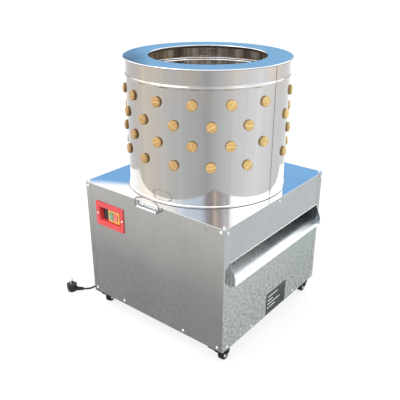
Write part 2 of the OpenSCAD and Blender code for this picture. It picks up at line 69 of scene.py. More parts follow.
# ---------------------------------------------------------------- mesh building
class Build:
    """Collects vertices and faces in millimetres and turns them into one object in metres."""

    def __init__(self):
        self.v, self.f, self.mi, self.tone_and_painted_light = [], [], [], []
        self.m = Matrix.Identity(4)
        self.slot = 0
        self.shade = 0.5

    def add(self, pts):
        k = len(self.v)
        for p in pts:
            self.v.append((self.m @ Vector(p))*MM)
            self.tone_and_painted_light.append(self.shade)
        return k

    def face(self, *ids):
        self.f.append(ids)
        self.mi.append(self.slot)

    def lathe(self, prof, segs, closed=False, a0=0.0, a1=360.0, shades=None):
        """Turns (radius, height) points about Z. A radius of 0 makes a pole."""
        full = abs(a1 - a0) >= 360
        cols = segs if full else segs + 1
        rows = []
        for n, (r, z) in enumerate(prof):
            if shades:
                self.shade = shades[n]
            if r < 1e-6:
                rows.append([self.add([(0, 0, z)])]*cols)
            else:
                k = self.add([(r*math.cos(math.radians(a0 + (a1 - a0)*i/segs)),
                               r*math.sin(math.radians(a0 + (a1 - a0)*i/segs)), z) for i in range(cols)])
                rows.append([k + i for i in range(cols)])
        pairs = list(zip(rows, rows[1:])) + ([(rows[-1], rows[0])] if closed else [])
        for a, b in pairs:
            for i in range(segs):
                j = (i + 1) % cols
                q = [a[i], a[j], b[j], b[i]]
                out = []
                for t in q:
                    if t not in out:
                        out.append(t)
                if len(out) > 2:
                    self.face(*out)

    def loft(self, rings, cap0=False, cap1=False, closed=False):
        n = len(rings[0])
        ks = [self.add(r) for r in rings]
        pairs = list(zip(ks, ks[1:])) + ([(ks[-1], ks[0])] if closed else [])
        for a, b in pairs:
            for i in range(n):
                j = (i + 1) % n
                self.face(a + i, a + j, b + j, b + i)
        if cap0:
            self.face(*[ks[0] + i for i in range(n)][::-1])
        if cap1:
            self.face(*[ks[-1] + i for i in range(n)])

    def tube(self, pts, radius, sides, caps=True):
        """Round tube along points; radius may be a number or one per point."""
        n = len(pts)
        P = [Vector(p) for p in pts]
        rr = radius if hasattr(radius, "__len__") else [radius]*n
        rings, u = [], None
        for i in range(n):
            t = (P[min(i + 1, n - 1)] - P[max(i - 1, 0)]).normalized()
            if u is None:
                u = t.cross(Vector((0, 0, 1)) if abs(t.z) < 0.9 else Vector((1, 0, 0))).normalized()
            u = (u - t*u.dot(t)).normalized()
            w = t.cross(u)
            rings.append([P[i] + rr[i]*(math.cos(2*math.pi*k/sides)*u + math.sin(2*math.pi*k/sides)*w) for k in range(sides)])
        self.loft(rings, caps, caps)

    def done(self, name, mats, smooth=32):
        me = bpy.data.meshes.new(name)
        me.from_pydata([tuple(v) for v in self.v], [], self.f)
        for m in mats if isinstance(mats, (list, tuple)) else [mats]:
            me.materials.append(m)
        me.polygons.foreach_set("material_index", self.mi)
        me.polygons.foreach_set("use_smooth", [True]*len(me.polygons))
        # per-vertex tone, which on the fingers also carries painted light
        at = me.attributes.new("tone_and_painted_light", "FLOAT", "POINT")
        at.data.foreach_set("value", self.tone_and_painted_light)
        me.update()
        import bmesh
        bm = bmesh.new()
        bm.from_mesh(me)
        bmesh.ops.recalc_face_normals(bm, faces=bm.faces)
        bm.to_mesh(me)
        bm.free()
        me.set_sharp_from_angle(angle=math.radians(smooth))
        ob = bpy.data.objects.new(name, me)
        scene.collection.objects.link(ob)
        return ob


def put(ob, body, slot, *nodes):
    if nodes:
        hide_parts(*nodes)
    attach(ob, body)
    return ob


def arc(cx, cy, r, a0, a1, n):
    return [(cx + r*math.cos(math.radians(a0 + (a1 - a0)*i/n)), cy + r*math.sin(math.radians(a0 + (a1 - a0)*i/n))) for i in range(n + 1)]


def rrect(w, h, r, n=6):
    """Rounded rectangle about the origin, counter-clockwise."""
    out = []
    for sx, sy, a in ((1, 1, 0), (-1, 1, 90), (-1, -1, 180), (1, -1, 270)):
        out += arc(sx*(w/2 - r), sy*(h/2 - r), r, a, a + 90, n)
    return out


def turn(axis, deg):
    return Matrix.Rotation(math.radians(deg), 4, axis)


def move(x, y, z):
    return Matrix.Translation((x, y, z))


# ---------------------------------------------------------------- materials
class Mat:
    def __init__(self, name, metallic=0.0, rough=0.4, spec=0.5):
        self.m = bpy.data.materials.new(name)
        self.m.use_nodes = True
        self.nt = self.m.node_tree
        self.b = self.nt.nodes["Principled BSDF"]
        self.b.inputs["Metallic"].default_value = metallic
        self.b.inputs["Roughness"].default_value = rough
        self.b.inputs["Specular IOR Level"].default_value = spec
        self.tc = self.nt.nodes.new("ShaderNodeTexCoord")
        self.obj = self.tc.outputs["Object"]

    def link(self, a, b):
        self.nt.links.new(a, b)

    def node(self, kind, **kw):
        n = self.nt.nodes.new(kind)
        for k, v in kw.items():
            setattr(n, k, v)
        return n

    def scaled(self, sx, sy, sz):
        n = self.node("ShaderNodeMapping")
        n.inputs["Scale"].default_value = (sx, sy, sz)
        self.link(self.obj, n.inputs["Vector"])
        return n.outputs["Vector"]

    def noise(self, scale, detail=3.0, rough=0.55, vec=None, distortion=0.0):
        n = self.node("ShaderNodeTexNoise")
        n.inputs["Scale"].default_value = scale
        n.inputs["Detail"].default_value = detail
        n.inputs["Roughness"].default_value = rough
        n.inputs["Distortion"].default_value = distortion
        self.link(vec or self.obj, n.inputs["Vector"])
        return n.outputs["Fac"]

    def ramp(self, fac, stops):
        n = self.node("ShaderNodeValToRGB")
        cr = n.color_ramp
        while len(cr.elements) < len(stops):
            cr.elements.new(0.5)
        for e, (p, c) in zip(cr.elements, stops):
            e.position = p
            e.color = (c[0], c[1], c[2], 1.0) if hasattr(c, "__len__") else (c, c, c, 1.0)
        self.link(fac, n.inputs["Fac"])
        return n.outputs["Color"]

    def mix(self, fac, a, b, blend="MIX"):
        n = self.node("ShaderNodeMix", data_type="RGBA", blend_type=blend)
        for s, v in ((n.inputs[0], fac), (n.inputs[6], a), (n.inputs[7], b)):
            if hasattr(v, "is_linked"):
                self.link(v, s)
            elif hasattr(v, "__len__"):
                s.default_value = (v[0], v[1], v[2], 1.0)
            else:
                s.default_value = v
        return n.outputs[2]

    def span(self, fac, f0, f1, t0, t1):
        n = self.node("ShaderNodeMapRange")
        for k, v in zip(("From Min", "From Max", "To Min", "To Max"), (f0, f1, t0, t1)):
            n.inputs[k].default_value = v
        self.link(fac, n.inputs["Value"])
        return n.outputs["Result"]

    def bump(self, height, dist, strength=1.0, normal=None):
        n = self.node("ShaderNodeBump")
        n.inputs["Distance"].default_value = dist
        n.inputs["Strength"].default_value = strength
        self.link(height, n.inputs["Height"])
        if normal is not None:
            self.link(normal, n.inputs["Normal"])
        return n.outputs["Normal"]

    def attr(self, name):
        n = self.node("ShaderNodeAttribute")
        n.attribute_name = name
        return n.outputs["Fac"]

    def axis(self, out, k):
        n = self.node("ShaderNodeSeparateXYZ")
        self.link(out, n.inputs[0])
        return n.outputs[k]

    def math(self, op, a, b=0.0):
        n = self.node("ShaderNodeMath", operation=op)
        for s, v in zip(n.inputs, (a, b)):
            if hasattr(v, "is_linked"):
                self.link(v, s)
            else:
                s.default_value = v
        return n.outputs[0]

    def color(self, c):
        self.link(c, self.b.inputs["Base Color"])

    def rough(self, r):
        self.link(r, self.b.inputs["Roughness"])

    def normal(self, n):
        self.link(n, self.b.inputs["Normal"])


def steel(name, lo, hi, r0, r1, wave=0.0005, wave_scale=5.0, metallic=1.0):
    m = Mat(name, metallic=metallic)
    cloud = m.noise(9.0, 5.0, 0.6)
    m.color(m.mix(m.span(cloud, 0.3, 0.7, 0.0, 1.0), lo, hi))
    smudge = m.noise(22.0, 6.0, 0.62)
    m.rough(m.span(smudge, 0.35, 0.7, r0, r1))
    soft = m.bump(m.noise(wave_scale, 2.0, 0.5), wave, 1.0)
    m.normal(m.bump(m.noise(700.0, 2.0, 0.5), 0.000004, 1.0, soft))
    return m.m


def ring_steel():
    """Flat ring with a turned edge whose lower part is painted darker, as painted shade under the roll."""
    m = Mat("ring_steel", metallic=1.0)
    cloud = m.span(m.noise(9.0, 5.0, 0.6), 0.3, 0.7, 0.0, 1.0)
    # painted shade: the ring is painted darker below the roll of the turned edge
    roll = m.ramp(m.span(m.axis(m.obj, 2), 0.9303, 0.9319, 0.0, 1.0), [(0.0, 0.40), (1.0, 1.0)])
    m.color(m.mix(1.0, m.mix(cloud, (0.72, 0.74, 0.76), (0.80, 0.82, 0.84)), roll, "MULTIPLY"))
    m.rough(m.span(m.noise(22.0, 6.0, 0.62), 0.35, 0.7, 0.05, 0.10))
    soft = m.bump(m.noise(6.0, 2.0, 0.5), 0.0006, 1.0)
    m.normal(m.bump(m.noise(700.0, 2.0, 0.5), 0.000004, 1.0, soft))
    return m.m


def tray_steel():
    """Satin chute floor with a slight dish worn toward the lip, painted dark inside at the rear end as painted shade.
    """
    m = Mat("tray_steel", metallic=0.86)
    cloud = m.span(m.noise(9.0, 5.0, 0.6), 0.3, 0.7, 0.0, 1.0)
    # painted shade: the inner part of the floor is painted dark toward the rear end
    inner = m.span(m.axis(m.obj, 0), 0.309, 0.322, 1.0, 0.0)
    painted_rear_shade = m.math("MULTIPLY", inner, m.span(m.axis(m.obj, 1), 0.05, 0.24, 0.0, 1.0))
    m.color(m.mix(painted_rear_shade, m.mix(cloud, (0.75, 0.81, 0.83), (0.85, 0.91, 0.93)), (0.19, 0.215, 0.23)))
    m.link(m.span(m.axis(m.obj, 1), -0.24, 0.02, 0.5, 0.86), m.b.inputs["Metallic"])
    m.rough(m.span(m.noise(22.0, 6.0, 0.62), 0.35, 0.7, 0.24, 0.34))
    dish = m.bump(m.span(m.axis(m.obj, 0), 0.22, 0.32, 1.0, 0.0), 0.008, 1.0)
    soft = m.bump(m.noise(6.0, 2.0, 0.5), 0.0004, 1.0, dish)
    m.normal(m.bump(m.noise(700.0, 2.0, 0.5), 0.000004, 1.0, soft))
    return m.m


def wire_steel():
    """Drawn wire in two painted tones: dark on the outer side as painted reflection of dark surroundings, pale on the
    side facing the drum so that its reflection in the drum shows light.
    """
    m = Mat("handle_wire", metallic=0.85)
    # painted reflection: the side facing the drum is painted pale, the outer side dark
    drum_facing_pale_side = m.span(m.axis(m.tc.outputs["Normal"], 1), -0.1, 0.4, 0.0, 1.0)
    worn = m.span(m.noise(40.0, 4.0, 0.6), 0.3, 0.7, 0.0, 1.0)
    m.color(m.mix(drum_facing_pale_side, m.mix(worn, (0.15, 0.15, 0.16), (0.26, 0.26, 0.27)), m.mix(worn, (0.86, 0.86, 0.86), (0.94, 0.94, 0.94))))
    m.rough(m.span(m.noise(90.0, 4.0, 0.6), 0.3, 0.7, 0.16, 0.30))
    m.normal(m.bump(m.noise(600.0, 2.0, 0.5), 0.00001, 1.0))
    return m.m


def drum_steel():
    """Rolled sheet: broad bands of painted reflection round the drum, fine streaks up it, and patches of painted
    reflection in a warmer tone high up.
    """
    m = Mat("drum_steel", metallic=1.0)
    turn_at = m.math("ARCTAN2", m.axis(m.obj, 1), m.axis(m.obj, 0))
    # painted reflection: light, dark and warmer bands set round the drum by angle
    painted_reflection_band = m.span(turn_at, -math.pi, math.pi, 0.0, 1.0)
    col = m.ramp(painted_reflection_band, [(0.13, 0.27), (0.175, 0.33), (0.23, (0.48, 0.43, 0.37)), (0.30, 0.37), (0.355, 0.285), (0.40, 0.46), (0.45, 0.58), (0.52, 0.45), (0.60, 0.40)])
    streak = m.noise(1.0, 3.0, 0.6, m.scaled(34.0, 34.0, 0.7))
    col = m.mix(1.0, col, m.ramp(streak, [(0.28, 0.93), (0.5, 1.0), (0.74, 1.06)]), "MULTIPLY")
    joint = m.math("ABSOLUTE", m.math("ADD", turn_at, 0.0508))
    col = m.mix(1.0, col, m.ramp(joint, [(0.0045, 0.55), (0.0085, 1.0)]), "MULTIPLY")
    # painted reflection: patches of warmer tone high up the drum
    warm_painted_reflection = m.noise(1.0, 4.0, 0.6, m.scaled(9.0, 9.0, 3.0))
    high = m.span(m.axis(m.obj, 2), 0.80, 0.92, 0.0, 1.0)
    tone_and_painted_light = m.math("MULTIPLY", m.span(warm_painted_reflection, 0.45, 0.65, 0.0, 1.0), high)
    m.color(m.mix(tone_and_painted_light, col, m.mix(1.0, col, (1.14, 1.02, 0.90), "MULTIPLY")))
    m.rough(m.span(m.noise(20.0, 6.0, 0.62), 0.35, 0.7, 0.07, 0.14))
    soft = m.bump(m.noise(1.0, 2.0, 0.5, m.scaled(7.0, 7.0, 3.0)), 0.0009, 1.0)
    m.normal(m.bump(m.noise(700.0, 2.0, 0.5), 0.000004, 1.0, soft))
    return m.m


def inner_steel():
    """Inside of the drum: duller, with light streaks up the wall."""
    m = Mat("drum_inside", metallic=0.75)
    streak = m.noise(1.0, 3.0, 0.65, m.scaled(26.0, 26.0, 1.2))
    m.color(m.ramp(streak, [(0.34, (0.14, 0.12, 0.10)), (0.5, (0.60, 0.55, 0.49)), (0.64, (1.0, 0.97, 0.93))]))
    m.rough(m.span(m.noise(16.0, 5.0, 0.6), 0.35, 0.7, 0.24, 0.40))
    m.normal(m.bump(m.noise(600.0, 2.0, 0.5), 0.000005, 1.0))
    return m.m


def skin_steel():
    m = Mat("cabinet_steel", metallic=1.0)
    nx = m.axis(m.tc.outputs["Normal"], 0)
    # painted light: faces toward +X, the chute side, get a lighter colour than the other faces
    side = m.span(nx, 0.3, 0.8, 0.0, 1.0)
    height = m.span(m.axis(m.obj, 2), 0.07, 0.508, 0.0, 1.0)
    cloud = m.noise(5.0, 5.0, 0.6)
    haze = m.ramp(cloud, [(0.3, 0.94), (0.7, 1.06)])
    # painted shade: the other faces are painted darker toward the bottom
    front = m.ramp(height, [(0.0, (0.196, 0.196, 0.196)), (0.26, (0.204, 0.204, 0.202)), (0.42, (0.222, 0.221, 0.217)), (0.56, (0.274, 0.271, 0.262)), (0.66, (0.306, 0.301, 0.289)), (1.0, (0.388, 0.378, 0.358))])
    front = m.mix(1.0, front, haze, "MULTIPLY")
    # painted shade: the chute side is also painted a little darker toward the bottom
    chute = m.ramp(height, [(0.0, (0.362, 0.385, 0.374)), (0.45, (0.405, 0.438, 0.426)), (0.8, (0.400, 0.430, 0.437))])
    chute = m.mix(1.0, chute, haze, "MULTIPLY")
    # painted reflection: a pebbled, rippled pattern low on the chute side, fading out upward
    pebble = m.noise(1.0, 4.0, 0.7, m.scaled(110.0, 78.0, 165.0))
    rise = m.span(m.axis(m.obj, 2), 0.14, 0.40, 1.0, 0.14)
    chute = m.mix(rise, chute, m.mix(1.0, chute, m.ramp(pebble, [(0.36, 0.36), (0.46, 0.97), (0.55, 1.0), (0.66, 1.6)]), "MULTIPLY"))
    ripple = m.noise(1.0, 3.0, 0.6, m.scaled(60.0, 48.0, 190.0))
    chute = m.mix(rise, chute, m.mix(1.0, chute, m.ramp(ripple, [(0.36, 0.66), (0.46, 0.98), (0.56, 1.0), (0.66, 1.2)]), "MULTIPLY"))
    # painted shade: darker and cooler toward the seam low down, with the line of the seam itself
    along = m.span(m.axis(m.obj, 1), -0.30, 0.30, 0.0, 1.0)
    painted_shade_toward_seam = m.ramp(along, [(0.0, 0.97), (0.45, 0.97), (0.78, (0.85, 0.895, 0.915)), (0.955, (0.85, 0.89, 0.905)), (0.96, 1.0)])
    chute = m.mix(m.span(m.axis(m.obj, 2), 0.29, 0.37, 1.0, 0.1), chute, m.mix(1.0, chute, painted_shade_toward_seam, "MULTIPLY"))
    chute = m.mix(1.0, chute, m.ramp(along, [(0.945, 1.0), (0.95, 0.84), (0.9582, 0.84), (0.96, 1.0)]), "MULTIPLY")
    blot = m.ramp(m.noise(24.0, 3.0, 0.6), [(0.24, 0.86), (0.34, 1.0)])
    grain = m.mix(m.span(m.axis(m.obj, 2), 0.10, 0.34, 1.0, 0.2), (1.0, 1.0, 1.0), m.ramp(pebble, [(0.36, 0.86), (0.5, 1.0), (0.66, 1.13)]))
    m.color(m.mix(side, m.mix(1.0, m.mix(1.0, front, blot, "MULTIPLY"), grain, "MULTIPLY"), chute))
    m.rough(m.span(m.noise(18.0, 6.0, 0.62), 0.35, 0.7, 0.08, 0.18))
    soft = m.bump(m.noise(4.0, 2.0, 0.5), 0.0006, 1.0)
    m.normal(m.bump(m.noise(500.0, 2.0, 0.5), 0.000006, 1.0, soft))
    return m.m


def cheek_steel():
    m = Mat("cheek_steel", metallic=0.9)
    streak = m.noise(1.0, 3.0, 0.6, m.scaled(160.0, 160.0, 9.0))
    m.color(m.ramp(streak, [(0.3, (0.20, 0.21, 0.21)), (0.5, (0.42, 0.44, 0.44)), (0.7, (0.62, 0.64, 0.65))]))
    m.rough(m.span(m.noise(30.0, 5.0, 0.6), 0.35, 0.7, 0.14, 0.28))
    m.normal(m.bump(m.noise(300.0, 2.0, 0.5), 0.00001, 1.0))
    return m.m


def rubber(name, lo, hi, rough=(0.45, 0.62), grain=(900.0, 0.00002), tone_and_painted_light_amount=0.0, spec=0.4, painted_side_light=False):
    m = Mat(name, spec=spec)
    c = m.mix(m.span(m.noise(60.0, 4.0, 0.6), 0.3, 0.7, 0.0, 1.0), lo, hi)
    # per-vertex random tone with painted light: lighter head faces, darker rims
    if tone_and_painted_light_amount:
        c = m.mix(1.0, c, m.ramp(m.attr("tone_and_painted_light"), [(0.0, 1.0 - tone_and_painted_light_amount), (1.0, 1.0 + tone_and_painted_light_amount*0.5)]), "MULTIPLY")
    if painted_side_light:
        # painted light: paler toward the lit side, darker toward the shaded side
        side = m.math("ADD", m.math("MULTIPLY", m.axis(m.obj, 0), 0.78), m.math("MULTIPLY", m.axis(m.obj, 1), 0.62))
        c = m.mix(1.0, c, m.ramp(m.span(side, -0.28, 0.28, 0.0, 1.0), [(0.04, (0.70, 0.68, 0.70)), (0.27, (0.77, 0.76, 0.77)), (0.5, (0.86, 0.89, 0.90)),
                                 (0.62, (0.94, 1.03, 1.03)), (0.74, (1.0, 1.13, 1.2)), (0.92, (1.10, 1.32, 1.52))]), "MULTIPLY")
    m.color(c)
    m.rough(m.span(m.noise(140.0, 3.0, 0.6), 0.3, 0.7, *rough))
    m.normal(m.bump(m.noise(grain[0], 3.0, 0.6), grain[1], 1.0))
    return m.m


def plastic(name, lo, hi, rough=(0.28, 0.42), spec=0.5, scale=40.0):
    m = Mat(name, spec=spec)
    m.color(m.mix(m.span(m.noise(scale, 4.0, 0.6), 0.3, 0.7, 0.0, 1.0), lo, hi))
    m.rough(m.span(m.noise(120.0, 3.0, 0.6), 0.3, 0.7, *rough))
    m.normal(m.bump(m.noise(1400.0, 2.0, 0.5), 0.00001, 1.0))
    return m.m


def paint(name, lo, hi, rough=(0.35, 0.55), metallic=0.0, peel=0.00003, spec=0.5):
    m = Mat(name, metallic=metallic, spec=spec)
    dust = m.ramp(m.noise(14.0, 6.0, 0.65), [(0.35, lo), (0.7, hi)])
    m.color(dust)
    m.rough(m.span(m.noise(50.0, 4.0, 0.6), 0.3, 0.7, *rough))
    m.normal(m.bump(m.noise(420.0, 2.0, 0.5), peel, 1.0))
    return m.m


M_DRUM = drum_steel()
M_INNER = inner_steel()
# painted highlight: the bead band inside the drum is painted far lighter than the inner wall
M_BEAD_PAINTED_HIGHLIGHT = steel("bead_painted_highlight", (0.90, 0.89, 0.87), (0.97, 0.96, 0.95), 0.10, 0.18, 0.0002, 20.0)
M_RING = ring_steel()
M_DECK = steel("deck_steel", (0.84, 0.85, 0.86), (0.90, 0.90, 0.91), 0.004, 0.014, 0.0001, 5.0)
M_TRAY = tray_steel()
M_CHEEK = cheek_steel()
M_SKIN = skin_steel()
M_BRIGHT = steel("bright_zinc", (0.62, 0.63, 0.64), (0.76, 0.77, 0.78), 0.12, 0.24, 0.0001, 40.0)
M_HANDLE = steel("handle_plate", (0.58, 0.59, 0.60), (0.70, 0.71, 0.72), 0.12, 0.24, 0.0002, 30.0)
M_WIRE = wire_steel()
# painted shade: a dark steel standing in for the contact shadow round the drum's foot
M_FLANGE_EDGE_SHADE = steel("flange_edge_painted_shade", (0.13, 0.13, 0.14), (0.22, 0.22, 0.23), 0.3, 0.5, 0.0002, 30.0)
M_FRAME = steel("frame_tube", (0.34, 0.35, 0.36), (0.46, 0.47, 0.48), 0.3, 0.5, 0.0003, 12.0)
M_CAST = paint("cast_iron", (0.10, 0.11, 0.12), (0.18, 0.19, 0.20), (0.45, 0.65), 0.3, 0.0001)
M_SHAFT = steel("shaft_steel", (0.55, 0.55, 0.55), (0.68, 0.68, 0.68), 0.12, 0.25, 0.0001, 30.0)
M_MOTOR = paint("motor_paint", (0.05, 0.13, 0.26), (0.08, 0.18, 0.33), (0.35, 0.5))
M_BELT = rubber("belt_rubber", (0.012, 0.012, 0.013), (0.03, 0.03, 0.03))
M_FINGER = rubber("finger_rubber", (0.45, 0.262, 0.085), (0.56, 0.34, 0.12), (0.32, 0.48), (700.0, 0.00003), 0.28, painted_side_light=True)
# painted highlight: the ridges are a lighter copy of the finger rubber
M_RIDGE = rubber("finger_ridge", (0.60, 0.40, 0.17), (0.70, 0.48, 0.22), (0.36, 0.5), (700.0, 0.00003), painted_side_light=True)
M_RED = plastic("housing_red", (0.52, 0.034, 0.038), (0.59, 0.047, 0.049), (0.3, 0.45))
M_BLACK = plastic("switch_black", (0.010, 0.010, 0.012), (0.022, 0.021, 0.023), (0.25, 0.4), 0.3)
M_YELLOW = plastic("bezel_yellow", (0.66, 0.35, 0.06), (0.74, 0.42, 0.09), (0.3, 0.45))
M_GREEN = plastic("button_green", (0.13, 0.27, 0.16), (0.17, 0.32, 0.20), (0.3, 0.45))
M_REDBTN = plastic("button_red", (0.56, 0.13, 0.10), (0.66, 0.18, 0.14), (0.3, 0.45))
M_PLATE = paint("plate_dark", (0.026, 0.034, 0.036), (0.036, 0.045, 0.047), (0.45, 0.6), 0.0, 0.00001, 0.25)
M_RULE = paint("plate_rule", (0.62, 0.65, 0.65), (0.74, 0.77, 0.77), (0.4, 0.5), 0.0, 0.00001)
M_CASTER = paint("caster_black", (0.0015, 0.0015, 0.0017), (0.005, 0.005, 0.0055), (0.36, 0.55), 0.0, 0.00003, 0.09)
M_WHEEL = rubber("wheel_rubber", (0.003, 0.003, 0.0035), (0.011, 0.0115, 0.012), (0.36, 0.55), spec=0.13)
M_PIN = steel("plug_pin", (0.40, 0.40, 0.41), (0.52, 0.52, 0.53), 0.14, 0.26, 0.0001, 40.0)
M_CORD = rubber("cord_rubber", (0.004, 0.004, 0.0045), (0.013, 0.013, 0.0135), (0.36, 0.55), spec=0.26)
M_PLUG = rubber("plug_black", (0.003, 0.003, 0.0035), (0.012, 0.012, 0.0125), (0.26, 0.4), (500.0, 0.00003), spec=0.28)


# ---------------------------------------------------------------- mains lead
def spline(p, m):
    P = [Vector(q) for q in p]
    n, out = len(P), []
    for i in range(n - 1):
        a, b, c, d = P[max(i - 1, 0)], P[i], P[i + 1], P[min(i + 2, n - 1)]
        for k in range(m):
            t = k/m
            out.append(0.5*((2*b) + (c - a)*t + (2*a - 5*b + 4*c - d)*t*t + (3*b - a - 3*c + d)*t*t*t))
    return out + [P[-1]]


def ease(t):
    return t*t*(3 - 2*t)


def drop_route():
    """Straight out of the gland, one easy bend downward, then a slack run to the coil."""
    out, down, start, r = Vector((-1, 0, 0)), Vector((0, -0.72, -0.694)).normalized(), Vector((-355, 120, 120)), 32.0
    pts = [Vector((-345, 120, 120)), Vector((-350, 120, 120))]
    for a in range(0, 101, 5):
        t = math.radians(a)
        pts.append(start + r*(math.sin(t)*out + (1 - math.cos(t))*down))
    a, b = pts[-1], Vector((-361.6, 10, 22.4))
    p = a + 45*(math.cos(t)*out + math.sin(t)*down)
    q = b - 45*Vector((0, -0.93, -0.36)).normalized()
    for k in range(1, 21):
        u = k/20
        pts.append((1 - u)**3*a + 3*(1 - u)**2*u*p + 3*(1 - u)*u*u*q + u**3*b)
    return pts


def even(pts, step):
    """The same route with points a steady distance apart."""
    run = [0.0]
    for a, b in zip(pts, pts[1:]):
        run.append(run[-1] + (b - a).length)
    n, out, k = round(run[-1]/step), [], 0
    for i in range(n + 1):
        d = run[-1]*i/n
        while k < len(pts) - 2 and run[k + 1] < d:
            k += 1
        out.append(pts[k].lerp(pts[k + 1], (d - run[k])/(run[k + 1] - run[k])))
    return out


def lead_route():
    lead = [(-354.5, 10, 5), (-354.6, -10, 4.2), (-355.5, -30, 3.6), (-358, -55, 3.6), (-363, -80, 3.6), (-370, -105, 3.6),
            (-378.5, -130, 3.6), (-387, -155, 3.6), (-392.6, -178, 3.6), (-394, -196, 3.6), (-393, -211, 3.7), (-391, -225, 4.1),
            (-390.4, -238, 5), (-392.4, -250.6, 6.6), (-397.8, -262, 8.6), (-405.7, -270.4, 10), (-412.2, -275.1, 10)]
    spots = [(34.4, 19.2), (41.5, 19.2), (41.5, 12.1), (34.4, 12.1), (34.4, 5.0), (41.5, 5.0)]
    coil = []
    for a in range(6, 1800, 6):
        k, t = 0, 0.0
        for j in range(5):
            s = 300 + 290*j
            if a >= s + 60:
                k = j + 1
            elif a > s:
                k, t = j, ease((a - s)/60)
        r = spots[k][0] + ((spots[k + 1][0] - spots[k][0])*t if t else 0)
        z = spots[k][1] + ((spots[k + 1][1] - spots[k][1])*t if t else 0)
        if a < 60:
            z += 3.2*(1 - ease(a/60))
        q = math.radians(-a)
        coil.append(Vector((-396 + r*math.cos(q), 10 + r*math.sin(q), z)))
    return drop_route() + coil + even(spline(lead, 6), 5.0)


def make_lead():
    pts = [p*MM for p in lead_route()]
    cu = bpy.data.curves.new("mains_lead", "CURVE")
    cu.dimensions = "3D"
    sp = cu.splines.new("POLY")
    sp.points.add(len(pts) - 1)
    for q, p in zip(sp.points, pts):
        q.co = (p.x, p.y, p.z, 1.0)
    sp.use_smooth = True
    cu.bevel_depth = 0.0035
    cu.bevel_resolution = 5
    cu.use_fill_caps = True
    cu.materials.append(M_CORD)
    ob = bpy.data.objects.new("mains_lead", cu)
    scene.collection.objects.link(ob)
    put(ob, "chassis", "cord_rubber", "cord_drop", "cord_coil", "cord_lead")
    return ob, sum((b - a).length for a, b in zip(pts, pts[1:])), pts[0]


lead, lead_len, lead_exit = make_lead()


def make_tie():
    b = Build()
    b.m = move(-396, 10, 0) @ turn("Z", -120)
    outer = rrect(18.2, 23.4, 3.5, 5)
    inner = rrect(15.4, 20.8, 3.2, 5)
    rings = []
    for prof, y in ((inner, -3), (outer, -3), (outer, 3), (inner, 3)):
        rings.append([(37.95 + p[0], y, 12.0 + p[1]) for p in prof])
    b.loft(rings, closed=True)
    head = [[(46.9 + dx, p[0], 12.0 + p[1]) for p in rrect(w, h, 1.2, 3)] for dx, w, h in ((0, 9, 8), (2.6, 9, 8), (3.2, 7.6, 6.6))]
    b.loft(head, True, True)
    return put(b.done("coil_tie", M_BLACK), "chassis", "black_plastic")


tie = make_tie()


def make_plug():
    b = Build()
    base = move(-405.7, -270.4, 0) @ turn("Z", 36) @ move(-46, 0, 0)
    b.m = base
    prof = [(0, 0.2), (13.5, 0.2)] + arc(13.5, 4.2, 4.0, -90, -20, 5) + [(18.0, 7), (18.4, 8.5)]
    z = 9.0
    while z < 15:
        prof += [(18.5, z), (18.1, z + 0.35), (18.1, z + 1.0), (18.5, z + 1.35)]
        z += 2.4
    prof += [(18.6, 16.6), (19.2, 17.6), (19.9, 18.6), (20, 19.4), (20, 29.2)] + arc(18.8, 29.8, 1.2, 0, 90, 4) + [(16.5, 31), (16.3, 30.5), (14.5, 30.5), (14.3, 31), (0, 31)]
    b.lathe(prof, 72)
    b.m = base @ move(0, 0, 10) @ turn("Y", 90)
    neck = [(0, 12), (8.9, 12), (8.9, 18)]
    x = 19.0
    while x < 43.5:
        r = 8.7 - (x - 19)*(8.7 - 5.9)/25.0
        neck += [(r, x), (r, x + 2.0), (r - 0.9, x + 2.3), (r - 1.0, x + 3.1)]
        x += 3.4
    neck += [(5.7, 45.4), (5.2, 46), (3.6, 46)]
    b.lathe(neck, 40)
    ob = put(b.done("plug_body", M_PLUG, 28), "chassis", "cord_rubber", "mains_plug")
    p = Build()
    for s in (-1, 1):
        p.m = base @ move(0, s*9.5, 0)
        p.slot = 0
        p.lathe([(2.4, 40), (2.4, 48.2)] + [(1.6 + 0.8*math.cos(math.radians(a)), 48.4 + 1.6*math.sin(math.radians(a))) for a in (15, 40, 65, 90)] + [(0, 50.0)], 28)
        p.lathe([(0, 30.6), (2.4, 30.6), (2.4, 40)], 28)
        p.slot = 1
        p.lathe([(3.6, 30.9), (3.6, 31.5), (3.2, 31.9), (2.45, 31.9)], 28)
    pins = put(p.done("plug_pins", [M_PIN, M_PLUG]), "chassis", "bright_fastener")
    return ob, pins


plug, pins = make_plug()


